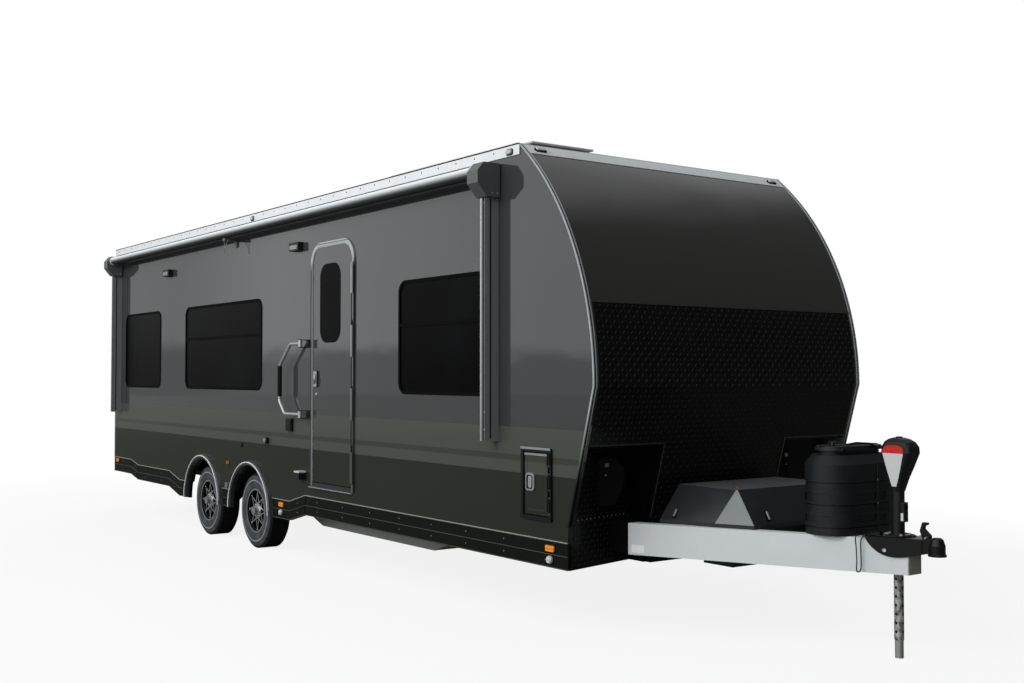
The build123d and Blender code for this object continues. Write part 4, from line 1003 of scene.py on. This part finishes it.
def awning_details():
    """End rings of the roll, the arms' strips, channels and screws, and the cradle's wires."""
    front, rear = at(-0.800), at(0.195 - body_length)
    ring = [(0.030, 0), (0.050, 0), (0.053, 0.006), (0.053, 0.016), (0.046, 0.022), (0.030, 0.022),
            (0.030, 0)]
    made("awning_end_rings", [
        lathe(ring, (x + way * 0.077, -1.405, 3.078), (way, 0, 0), 36) for x, way in ((front, -1), (rear, 1))
    ], "white")
    out = 0.103
    face = -half - out
    low, high = 1.222, 2.900
    bright, dark, light, screws = [], [], [], []
    for x in (front, rear):
        bright.append(side_block(-1, (x - 0.035, out + 0.003, low), (x - 0.017, out - 0.001, high)))
        for near, far in ((-0.004, 0.006), (0.024, 0.030)):
            dark.append(side_block(-1, (x + near, out + 0.001, low), (x + far, out - 0.002, high)))
        dark.append(block((x + 0.0345, face + 0.030, low + 0.018), (x + 0.0362, face + 0.040, high - 0.010)))
        # Painted light: a thin lighter grey plate on each head's curb face, where light falls.
        outline = [(0.195, 2.995), (0.195, 3.075), (0.145, 3.134), (0.080, 3.134), (0.080, 2.995)]
        light.append(plate([(x - 0.0655, -half - y, z) for y, z in outline], 0.001))
        screws += [on_side(-1, x + 0.015, z, out) for z in (1.300, 1.420, 2.860)]
        screws += [((x + 0.0655, -half + y, 2.925), (1, 0, 0), (0, 1, 0)) for y in (-0.030, -0.070)]
    made("awning_arm_strips", bright, "bright")
    made("awning_arm_channels", dark, "gap")
    made("awning_head_faces", light, "head light")
    repeated("awning_screws", screw(0.006, 0.004), screws, "zinc")
    x, y, z = at(-5.300), -half - 0.110, 3.020
    low = (x, y - 0.02, z - 0.085)
    made("awning_cradle_wires", [
        *(sweep([low, (x + reach, y, z)], wire(0.003), (0, 1, 0)) for reach in (-0.05, 0.05)),
        block((x - 0.003, y - 0.023, z - 0.130), (x + 0.003, y - 0.017, z - 0.083)),
    ], "lip")


awning_details()

# Sills and their lamps


def sill_runs(drop):
    """The sill's line at one drop below its top, as runs that stop at the wheel arches."""
    runs = [[]]
    for (x0, z0), (x1, z1) in zip(sill_line, sill_line[1:]):
        steps = max(1, ceil((x0 - x1) / 0.01))
        for i in range(steps):
            x, z = x0 + (x1 - x0) * i / steps, z0 + (z1 - z0) * i / steps - drop
            if all((x - axle) ** 2 + (z - wheel_z) ** 2 > flare_radius**2 for axle in axle_places):
                runs[-1].append((x, z, i == 0))
            elif runs[-1]:
                runs.append([])
    runs[-1].append((body_rear, sill_line[-1][1] - drop, True))
    return [
        [(x, z) for i, (x, z, corner) in enumerate(run) if i in (0, len(run) - 1) or corner]
        for run in runs if len(run) > 1
    ]


def sill_lips():
    """Three edges along each sill, painted lighter than the sill as painted highlights: bright at its top,
    duller at the crease and the foot.
    """
    for name, drop, paint, tall in (
        ("sill_top_lips", -0.003, "lip", 0.0045), ("sill_creases", 0.085, "lip dull", 0.003),
        ("sill_foot_lips", 0.167, "lip dull", 0.0035),
    ):
        outline = [(0, -tall), (0.004, -tall), (0.006, 0), (0.004, tall), (0, tall)]
        made(name, [
            sweep([(x, side * half, z) for x, z in run], outline, (0, side, 0))
            for side in both for run in sill_runs(drop)
        ], paint)
    places = []
    legs = [leg for drop in (0.040, 0.125) for run in sill_runs(drop) for leg in zip(run, run[1:])]
    for side in both:
        for (x0, z0), (x1, z1) in legs:
            count = max(1, int((x0 - x1) / 0.42))
            for share in ((i + 0.5) / count for i in range(count)):
                places.append(on_side(side, x0 + (x1 - x0) * share, z0 + (z1 - z0) * share))
    repeated("sill_screws", screw(0.005, 0.003), places, "lip")
    made("sill_seams", [
        side_block(side, (x - 0.002, -0.001, z - sill_height + 0.003), (x + 0.002, 0.003, z))
        for side in both for x, z in (sill_line[1], sill_line[5])
    ], "gap")


def sill_lamps():
    """A small round clear lamp under each forward amber lamp, with its black base."""
    base = [(0.034, 0), (0.034, 0.004), (0, 0.004)]
    lens = [(0.026, 0.004), (0.026, 0.016), (0.020, 0.024), (0, 0.027)]
    for name, outline, paint in (("sill_lamp_bases", base, "black"), ("sill_lamp_lenses", lens, "clear")):
        made(name, [
            lathe(outline, (x, side * half, z), (0, side, 0), 24)
            for side in both for x, z in ((at(-0.179), 0.481), (at(-4.226), 0.411))
        ], paint)


def lamp_bases():
    """Black surrounds behind the marker lamps, and smoked covers on the roof's edge."""
    lamps = [
        # x, z, distance out of the wall, width, height
        (at(-0.179), 0.553, 0, 0.104, 0.054), (at(-4.226), 0.483, 0, 0.104, 0.054),
        (at(0.140 - body_length), 0.620, 0, 0.104, 0.054), (at(-5.485), 0.794, 0, 0.072, 0.042),
        (at(-0.620), 3.196, 0.008, 0.076, 0.046), (at(-4.900), 3.196, 0.008, 0.076, 0.046),
    ]
    made("marker_lamp_bases", [
        side_pad(side, x, out, z, width, height, 0.004, 0.014)
        for side in both for x, z, out, width, height in lamps
    ], "black")
    made("roof_lamp_covers", [
        side_pad(side, x, 0.020, z, 0.060, 0.030, 0.006, 0.012)
        for side in both for x, z, out, width, height in lamps[-2:]
    ], "smoked", bevel=0.004)


sill_lips()
sill_lamps()
lamp_bases()

# Doors, windows and fittings on the sides


def entry_door_details():
    """The door's light edge, the hinges' dark gaps, the threshold, the lock and the deadbolt."""
    rear, front, low, high = entry
    inset, corner = 0.040, 0.150
    path = [(front - inset, 2.300)]
    for turn, centre in ((0, front - inset - corner), (pi / 2, rear + inset + corner)):
        for angle in (turn + pi / 2 * i / 8 for i in range(9)):
            path.append((centre + corner * cos(angle), high - inset - corner + corner * sin(angle)))
    path.append((rear + inset, low + inset))
    edge = sweep([(x, -half - 0.004, z) for x, z in path], strip(0, 0.0035, -0.007, 0.002), (0, -1, 0))
    made("entry_door_edge", [edge], "bright", "entry_door")
    gaps = ((0.842, 1.090), (1.365, 1.581), (1.889, 2.131), (2.364, 2.589))
    made("entry_hinge_gaps", [
        side_block(-1, (front - 0.028, 0.012, z0), (front - 0.016, 0.0135, z1)) for z0, z1 in gaps
    ], "gap")
    threshold = side_block(-1, (rear + 0.01, 0.001, low - 0.012), (front - 0.01, 0.030, low - 0.004))
    made("entry_threshold", [threshold], "bright")
    x, out, z = rear + 0.106, 0.018, 1.640
    lock_plate = side_pad(-1, x, out, z, 0.060, 0.134, 0.004, 0.010)
    made("entry_lock_plate", [lock_plate], "bright", "entry_door", bevel=0.0015)
    recess = side_pad(-1, x - 0.008, out + 0.004, z, 0.026, 0.092, 0.002, 0.008)
    made("entry_lock_recess", [recess], "gap", "entry_door")
    paddle = side_block(-1, (x + 0.008, out + 0.004, z - 0.040), (x + 0.024, out + 0.020, z + 0.040))
    made("entry_lock_paddle", [paddle], "chrome", "entry_door", bevel=0.004)
    outline = [(0.018, 0), (0.018, 0.003), (0.009, 0.004), (0.009, 0.008), (0, 0.008)]
    deadbolt = lathe(outline, (x, -half - 0.004, 1.500), (0, -1, 0), 20)
    made("entry_deadbolt", [deadbolt], "chrome", "entry_door")


def baggage_details(label, side):
    """Bevels over the door painted pale as painted highlights, the door's crease, the frame's screws and the
    paddle latch.
    """
    rear, front, low, high = baggage
    body = f"baggage_door_{label}"
    face, skin = 0.014, 0.004
    # Painted highlight: only the top bevels of the frame and door are pale, where light falls.
    bevel = side_block(side, (rear + 0.002, face, high - 0.013), (front - 0.004, face + 0.004, high + 0.003))
    made(f"baggage_frame_bevel_{label}", [bevel], "facet", bevel=0.0015)
    bevel = side_block(side, (rear + 0.036, skin, high - 0.052), (front - 0.048, skin + 0.006, high - 0.038))
    made(f"baggage_door_bevel_{label}", [bevel], "facet", body, bevel=0.002)
    x0, x1, z0, z1 = rear + 0.062, front - 0.066, low + 0.066, high - 0.066
    thin = 0.0015
    made(f"baggage_crease_{label}", [
        side_block(side, (a - thin, skin, b - thin), (c + thin, skin + 0.0018, d + thin))
        for a, b, c, d in ((x0, z0, x1, z0), (x0, z1, x1, z1), (x0, z0, x0, z1), (x1, z0, x1, z1))
    ], "lip dull", body)
    places = [on_side(side, front - 0.019, low + 0.05 + i * 0.052, face) for i in range(8)]
    repeated(f"baggage_screws_{label}", screw(0.004, 0.0025), places, "lip")
    for piece, x, out, sizes, paint, edge in (
        ("bezel", 0.098, 0, (0.096, 0.120, 0.010, 0.026), "head light", 0.004),
        ("well", 0.098, 0.010, (0.066, 0.090, 0.001, 0.016), "gap", 0),
        ("paddle", 0.108, 0.011, (0.038, 0.078, 0.006, 0.010), "zinc", 0.003),
    ):
        part = side_pad(side, rear + x, skin + out, 0.968, *sizes)
        made(f"baggage_latch_{piece}_{label}", [part], paint, body, bevel=edge)


def handle_grip():
    """A foam sleeve over the middle of the grab handle."""
    low, high = 1.478, 1.760
    outline = [(0.0145, low), (0.019, low + 0.004), (0.0205, low + 0.02), (0.0205, high - 0.02),
               (0.019, high - 0.004), (0.0145, high), (0.0145, low)]
    sleeve = lathe(outline, (at(-4.110), -half - 0.080, 0), (0, 0, 1), 24)
    made("handle_foam_grip", [sleeve], "foam", "grab_handle")


def fittings():
    """Lenses of the porch lights, and small lids and caps on the side walls."""
    lenses = [
        side_pad(-1, x, 0.052, z - 0.006, 0.150, 0.040, 0.004, 0.014)
        for x, z in ((at(-3.898), 2.832), (at(-7.187), 2.820))
    ]
    made("porch_light_lenses", lenses, "smoked", bevel=0.002)
    lid = side_pad(-1, at(-4.048), 0.022, 1.221, 0.092, 0.092, 0.006, 0.010)
    made("outlet_lid", [lid], "black", bevel=0.003)
    outline = [(0.024, 0), (0.024, 0.010), (0.016, 0.014), (0, 0.014)]
    inlet = lathe(outline, (at(-4.542), -half - 0.026, 1.057), (0, -1, 0), 20)
    made("water_inlet_cap", [inlet], "head light")
    marker = side_pad(-1, at(-5.140), 0, 0.985, 0.030, 0.044, 0.012, 0.010)
    made("wall_marker", [marker], "black", bevel=0.003)
    faces = [side_pad(side, at(-5.485), 0.012, 0.794, 0.056, 0.028, 0.0016, 0.008) for side in both]
    made("arch_marker_faces", faces, "orange")


def window_caps():
    """A thin drip cap over each side window."""
    caps = []
    for side in both:
        for middle, width in ((1.018 - body_length, 1.232), (-5.682, 2.002), (-1.515, 1.200)):
            reach = width / 2 - 0.11
            low, high = (at(middle - reach), 0.0055, 2.402), (at(middle + reach), 0.010, 2.409)
            caps.append(side_block(side, low, high))
    made("window_drip_caps", caps, "rim black")


entry_door_details()
for label, side in sides.items():
    baggage_details(label, side)
handle_grip()
fittings()
window_caps()

# Wheels


def spoke(angle):
    """Directions out from an axle and along the tread at one angle."""
    return Vector((cos(angle), 0, sin(angle))), Vector((-sin(angle), 0, cos(angle)))


def round_wheel(centre, facing, count, radius, out):
    """Places in a ring on a wheel's face."""
    places = []
    for i in range(count):
        away = spoke(2 * pi * i / count)[0]
        places.append((centre + away * radius + facing * out, facing, away))
    return places


def wheel(row, x, label, side):
    """A tyre with tread blocks and a raised sidewall ring, and the wheel's nuts, studs and valve."""
    profile = [
        # radius, distance from the wheel's middle
        (0.196, 0.090), (0.214, 0.0965), (0.225, 0.108), (0.262, 0.1125), (0.285, 0.1118),
        (0.289, 0.1136), (0.295, 0.1136), (0.299, 0.1110), (0.320, 0.107), (0.338, 0.101),
        (0.349, 0.092), (tread_radius, 0.080),
    ]
    body = f"wheel_{row}_{label}"
    centre = Vector((x, side * wheel_mid, wheel_z))
    facing = Vector((0, side, 0))
    outline = profile + [(radius, -out) for radius, out in reversed(profile)]
    ring = made(f"tyre_ring_{row}_{label}", [lathe(outline, centre, (0, 1, 0), 96, ring=True)], "tyre", body)
    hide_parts(f"tyre_{row}_{label}")
    lug = block((-0.0125, -0.0145, -0.002), (0.0125, 0.0145, 0.0070))
    places = []
    for lane in range(-2, 3):
        for i in range(72):
            away, run = spoke(2 * pi * (i + 0.5 * (lane % 2)) / 72)
            places.append((centre + away * tread_radius + Vector((0, lane * 0.036, 0)), away, run))
    repeated(f"tread_{row}_{label}", [lug], places, "tyre", body)
    nuts = round_wheel(centre, facing, 6, 0.058, 0.076)
    repeated(f"wheel_nuts_{row}_{label}", hex_bolt(0.010, 0.016), nuts, "chrome", body)
    studs = round_wheel(centre, facing, 8, 0.183, 0.084)
    repeated(f"wheel_studs_{row}_{label}", screw(0.006, 0.004), studs, "chrome", body)
    outline = [(0.005, 0), (0.005, 0.022), (0.003, 0.026), (0, 0.026)]
    valve = lathe(outline, centre + Vector((0.165, side * 0.068, 0)), (0, side, 0), 10)
    made(f"valve_{row}_{label}", [valve], "black", body)


def flare_beads():
    """A raised bead along the outer edge of each wheel flare, pale as a painted highlight on the black flare.
    """
    radius = flare_radius - 0.020
    arc = [(radius * cos(pi * i / 40), wheel_z + radius * sin(pi * i / 40)) for i in range(41)]
    made("flare_beads", [
        sweep([(axle + x, side * (half + 0.050), z) for x, z in arc], wire(0.0055), (0, side, 0))
        for side in both for axle in axle_places
    ], "band")


def wheel_liners():
    """Dark sheets behind the wheels, between the well and the axles, as painted shade for the shade under the
    body.
    """
    front, rear = axle_places
    made("wheel_liners", [
        block((rear - 0.470, side * 0.990, 0.420), (front + 0.470, side * 0.984, 0.700)) for side in both
    ], "well")


for row, x in zip(("front", "rear"), axle_places):
    for label, side in sides.items():
        wheel(row, x, label, side)
flare_beads()
wheel_liners()

# Tongue equipment


def storage_details():
    """Corner facets painted light, draw latches, and a lid skin in a lighter grey as painted light on its
    top, with a small round plug, on the storage box.
    """
    low, top = beam_top + 0.0244, 0.950
    facets, latches, keepers = [], [], []

    def draw_latch(place, facing, up):
        keepers.append(pad(place, facing, up, 0.026, 0.070, 0.008, 0.006))
        latches.append(pad(place + facing * 0.008, facing, up, 0.014, 0.056, 0.010, 0.005))

    for side in both:
        corners = [(at(0.565), side * 0.546, low), (at(0.800), side * 0.441, low),
                   (at(0.684), side * 0.462, top), (at(0.676), side * 0.470, top)]
        facets.append(plate(corners[::-side], 0.0012))
        start, end = Vector((at(0.190), side * 0.668, low)), Vector((at(0.565), side * 0.546, low))
        along = (end - start).normalized()
        facing = side * (Vector((at(0.165), side * 0.470, top)) - start).cross(along).normalized()
        up = side * along.cross(facing)
        draw_latch(start + along * 0.100 + up * 0.050, facing, up)
    start = Vector((at(0.800), 0, low))
    up = (Vector((at(0.684), 0, top)) - start).normalized()
    for y in (-0.297, 0.297):
        draw_latch(start + up * 0.055 + Vector((0, y, 0)), Vector((up.z, 0, -up.x)), up)
    # Painted light: the corner facets are pale where light falls on them.
    made("storage_facets", facets, "facet")
    made("storage_latch_keepers", keepers, "gap", bevel=0.002)
    made("storage_latches", latches, "zinc", bevel=0.002)
    outline = [(0.168, -0.466), (0.674, -0.466), (0.681, -0.460), (0.681, 0.460), (0.674, 0.466),
               (0.168, 0.466)]
    # Painted light: a thin lighter grey skin over the box's top.
    made("storage_lid_skin", [plate([(at(x), y, top) for x, y in outline], 0.0015)], "box top")
    outline = [(0.016, 0), (0.016, 0.004), (0.008, 0.006), (0, 0.006)]
    plug = lathe(outline, (at(0.560), -0.330, top + 0.0015), (0, 0, 1), 20)
    made("storage_lid_plug", [plug], "orange")


def propane_details():
    """The lid's strap, wing nut and handle, and the cover's seam with its rivets."""
    x, top = at(1.180), beam_top + 0.532
    handle = [(x + 0.030, -0.060, top + 0.004), (x + 0.070, -0.020, top + 0.016),
              (x + 0.110, 0.070, top + 0.010), (x + 0.112, 0.130, top - 0.010)]
    made("propane_strap", [
        block((x - 0.018, -0.262, top - 0.001), (x + 0.018, 0.262, top + 0.004)),
        block((x + 0.055, -0.200, top - 0.030), (x + 0.112, -0.120, top - 0.012)),
        sweep(handle, wire(0.007, 8), (0, 0, 1)),
    ], "coupler", bevel=0.003)
    outline = [(0.012, 0), (0.012, 0.014), (0.006, 0.024), (0, 0.024)]
    made("propane_wing_nut", [
        lathe(outline, (x, -0.155, top + 0.004), (0, 0, 1), 16),
        block((x - 0.030, -0.158, top + 0.012), (x + 0.030, -0.152, top + 0.030)),
    ], "coupler", bevel=0.002)
    seam = block((x + 0.160, 0.051, beam_top + 0.012), (x + 0.172, 0.059, beam_top + 0.420))
    made("propane_seam", [seam], "cover", bevel=0.002)
    places = [((x + 0.172, 0.055, beam_top + z), (1, 0, 0), (0, 1, 0)) for z in (0.185, 0.327)]
    repeated("propane_rivets", screw(0.005, 0.003), places, "zinc")


def head_half_width(z):
    """Half the width of the jack's head at one height."""
    sections = ((0.985, 0.039), (1.060, 0.046), (1.140, 0.055), (1.215, 0.062), (1.250, 0.061))
    for (z0, w0), (z1, w1) in zip(sections, sections[1:]):
        if z <= z1:
            return w0 + (w1 - w0) * (z - z0) / (z1 - z0)
    return sections[-1][1]


def jack_label(name, rows, paint):
    """A blank label on both flanks of the jack's head, from rows of height, rear and front edge."""
    spaces = 4
    parts = []
    for side in both:
        for out in (0.0008, 0.0014):
            points = [
                (x0 + (x1 - x0) * i / spaces, side * (head_half_width(z) + out), z)
                for z, x0, x1 in rows for i in range(spaces + 1)
            ]
            starts = [row * (spaces + 1) + i for row in range(len(rows) - 1) for i in range(spaces)]
            parts.append((points, [(j, j + 1, j + spaces + 2, j + spaces + 1) for j in starts]))
    made(name, parts, paint)


def jack_details():
    """Blank labels, the switch, the flange's bolts, the sleeve's wire and the head's top plug."""
    jack_label("jack_label_white", [
        (1.014, -0.010, 0.018), (1.022, -0.014, 0.023), (1.070, -0.027, 0.040), (1.140, -0.046, 0.062),
        (1.211, -0.062, 0.082),
    ], "white")
    jack_label("jack_label_red", [
        (1.2115, -0.062, 0.082), (1.230, -0.062, 0.084), (1.246, -0.052, 0.076), (1.2585, -0.022, 0.048),
    ], "label red")
    labels = [block((0.032, side * 0.019, 0.812), (0.050, side * 0.0198, 0.858)) for side in both]
    made("switch_labels", labels, "white")
    made("jack_switch", [block((0.056, -0.010, 0.880), (0.064, 0.010, 0.905))], "gap", bevel=0.002)
    places = [
        ((x, y, beam_top + 0.018), (0, 0, 1), (1, 0, 0))
        for x in (-0.048, 0.048) for y in (-0.040, 0.040)
    ]
    repeated("jack_flange_bolts", hex_bolt(0.009, 0.009), places, "zinc")
    path = [(-0.040, -0.014, z) for z in (0.732, 0.80, 0.90, 0.975)]
    made("jack_wire", [sweep(path, wire(0.003), (0, 1, 0))], "cord")
    outline = [(0.020, 0), (0.020, 0.004), (0.014, 0.007), (0, 0.007)]
    made("jack_top_plug", [lathe(outline, (0.012, 0, 1.303), (0, 0, 1), 24)], "cover")


def coupler_details():
    """Bolts on the coupler's neck and plate, and the latch's pin."""
    places = [
        ((x, y, z), (0, 0, 1), (1, 0, 0))
        for x, reach, z in ((0.165, 0.020, 0.735), (at(1.476), -0.045, beam_top + 0.010))
        for y in (reach, -reach)
    ]
    repeated("coupler_bolts", hex_bolt(0.007, 0.006), places, "zinc")
    outline = [(0, 0), (0.006, 0), (0.006, 0.062), (0, 0.062)]
    made("latch_pin", [lathe(outline, (at(1.740), -0.031, beam_top + 0.020), (0, 1, 0), 12)], "zinc")


def beam_stickers():
    """A small blank sticker near the rear of each tongue beam's outer face."""
    slope = 0.4927
    x, y = at(0.130), 0.838 - slope * 0.060
    length = 0.080 * sqrt(1 + slope**2)
    made("beam_stickers", [
        pad((x, side * y, beam_top - 0.165), (slope, side, 0), (0, 0, 1), length, 0.050, 0.0006, 0.002)
        for side in both
    ], "sticker")


storage_details()
propane_details()
jack_details()
coupler_details()
beam_stickers()

# Rear


def rear_details():
    """Edge trims round the back, creases and lock bars of the ramp, rivets and lamp surrounds."""
    x = body_rear
    trims = [block((x - 0.003, -half + 0.045, roof_top - 0.235), (x + 0.001, half - 0.045, roof_top - 0.229))]
    for side in both:
        trims.append(side_block(side, (x - 0.003, -0.045, 0.600), (x + 0.001, -0.038, roof_top - 0.050)))
        trims.append(side_block(side, (x - 0.003, -0.002, 0.655), (x + 0.020, 0.003, roof_top - 0.075)))
    made("rear_edge_trims", trims, "bright")
    made("ramp_creases", [
        block((x - 0.0015, -1.030, z - 0.002), (x + 0.001, 1.030, z + 0.002))
        for z in (stripe_low, pinstripe_low, pinstripe_high, stripe_high)
    ], "gap", "ramp_door")
    places = [
        ((x, side * (half - 0.060), 0.80 + i * 0.13), (-1, 0, 0), (0, 1, 0))
        for side in both for i in range(18)
    ]
    repeated("rear_post_rivets", screw(0.005, 0.003), places, "lip")
    surrounds = [
        # y, z, width, height, depth
        (-1.2075, 1.150, 0.062, 0.276, 0.008), (1.2075, 1.150, 0.062, 0.276, 0.008),
        *((y, 3.095, 0.104, 0.040, 0.006) for y in (-0.150, 0, 0.150)),
    ]
    made("rear_lamp_frames", [
        pad((x, y, z), (-1, 0, 0), (0, 0, 1), *sizes, 0.012) for y, z, *sizes in surrounds
    ], "black")
    outline = [(0, 0.795), (0.0118, 0.795), (0.0118, 2.695), (0, 2.695)]
    bars = [lathe(outline, (x - 0.018, side * 1.060, 0), (0, 0, 1), 16) for side in both]
    made("ramp_lock_bars", bars, "zinc", "ramp_door")


rear_details()

# Light and floor


def soft_box(name, place, target, width, height, power):
    """A large soft lamp that points at a target."""
    light = bpy.data.lights.new(name, "AREA")
    light.shape = "RECTANGLE"
    light.size = width
    light.size_y = height
    light.energy = power
    box = placed(name, light)
    aim = (Vector(target) - Vector(place)).to_track_quat("-Z", "Y")
    box.matrix_world = Matrix.Translation(place) @ aim.to_matrix().to_4x4()
    box.visible_glossy = False


class Sky(Finish):
    """A world in the making."""

    def __init__(self, name):
        self.world = bpy.data.worlds.new(name)
        self.world.use_nodes = True
        self.tree = self.world.node_tree
        self.tree.nodes.clear()
        self.read_place("Generated")


def seen_straight(finish):
    """1 for what the camera sees itself or through glass, 0 for light and mirror images."""
    straight, through, mirrored = (
        finish.node("ShaderNodeLightPath", out=f"Is {kind} Ray")
        for kind in ("Camera", "Transmission", "Glossy")
    )
    return (straight | through) * (1 - mirrored)


def studio_world():
    """White to the camera and through glass. Its light comes from behind and over the curb side,
    over a low dark line of trees, and leaves the nose in the shade."""
    sky = Sky("studio")
    bpy.context.scene.world = sky.world
    streaks = sky.noise(2.4, 4, (1, 1, 5)) * 0.30
    lean = sky.z - (sky.x + sky.y) * 0.75 + streaks - 0.15
    crowns = sky.noise(26, 5, (1, 1, 2)) * 0.04 + sky.noise(5, 2, (1, 1, 0.2)) * 0.02
    open_sky = sky.ramp(sky.z - crowns + 0.012, -0.006, 0.010) * 0.60 + 0.40
    level = (sky.ramp(lean, 0.0, 0.35) * 0.95 + 0.14) * open_sky
    curb_side = 0 - sky.y
    abeam = sky.ramp(curb_side, 0.34, 0.43) * 0.38 + sky.ramp(curb_side, 0.66, 0.80) + 0.42
    fill = sky.ramp(sky.y - sky.x, 0.7, 1.3) * 0.35
    light = sky.node("ShaderNodeBackground", {}, {0: (0.99, 1, 1.01, 1), 1: level * abeam + fill})
    white = sky.node("ShaderNodeBackground", {}, {0: (1, 1, 1, 1)})
    shown = sky.node("ShaderNodeMixShader", {}, {0: seen_straight(sky), 1: light, 2: white})
    sky.tree.links.new(shown.socket, sky.tree.nodes.new("ShaderNodeOutputWorld").inputs["Surface"])


def studio_floor():
    """A pale floor that keeps the shadow near the trailer and fades to white further out."""
    radius, corners = 90, 96
    mesh = bpy.data.meshes.new("studio_floor")
    rim = [
        (radius * cos(2 * pi * i / corners) - 5, radius * sin(2 * pi * i / corners), -0.001)
        for i in range(corners)
    ]
    mesh.from_pydata(rim, [], [range(corners)])
    finish = Finish("floor_pale")
    tint = finish.ramp(finish.noise(0.2, 2), 0.3, 0.7)
    colour = finish.mix(tint, (0.80, 0.80, 0.80, 1), (0.83, 0.83, 0.83, 1))
    finish.surface(colour, 0.9, specular_ior_level=0.1)
    along = (finish.x + 4.8) * 0.62
    away = (along * along + finish.y * finish.y).root()
    far = finish.ramp(away, 3.2, 8.0) * 0.14 + 0.86
    white = finish.node("ShaderNodeEmission", {}, {0: (1, 1, 1, 1)})
    near = finish.node("ShaderNodeBsdfDiffuse", {}, {0: (0.16, 0.16, 0.15, 1)})
    trees = finish.node("ShaderNodeEmission", {}, {0: (0.26, 0.26, 0.26, 1)})
    dim = finish.node("ShaderNodeMixShader", {}, {0: finish.ramp(away, 8, 30), 1: near, 2: trees})
    pale = Reading(finish, finish.shader.outputs[0])
    faded = finish.node("ShaderNodeMixShader", {}, {0: far, 1: pale, 2: white})
    shown = finish.node("ShaderNodeMixShader", {}, {0: seen_straight(finish), 1: dim, 2: faded})
    finish.tree.links.new(shown.socket, finish.tree.nodes["Material Output"].inputs["Surface"])
    mesh.materials.append(finish.material)
    floor = placed("studio_floor", mesh)


studio_world()
studio_floor()
soft_box("key_light", (-4, -14, 9), (-4, 0, 1.5), 12, 5, 850)
bpy.context.scene.view_settings.view_transform = "Standard"
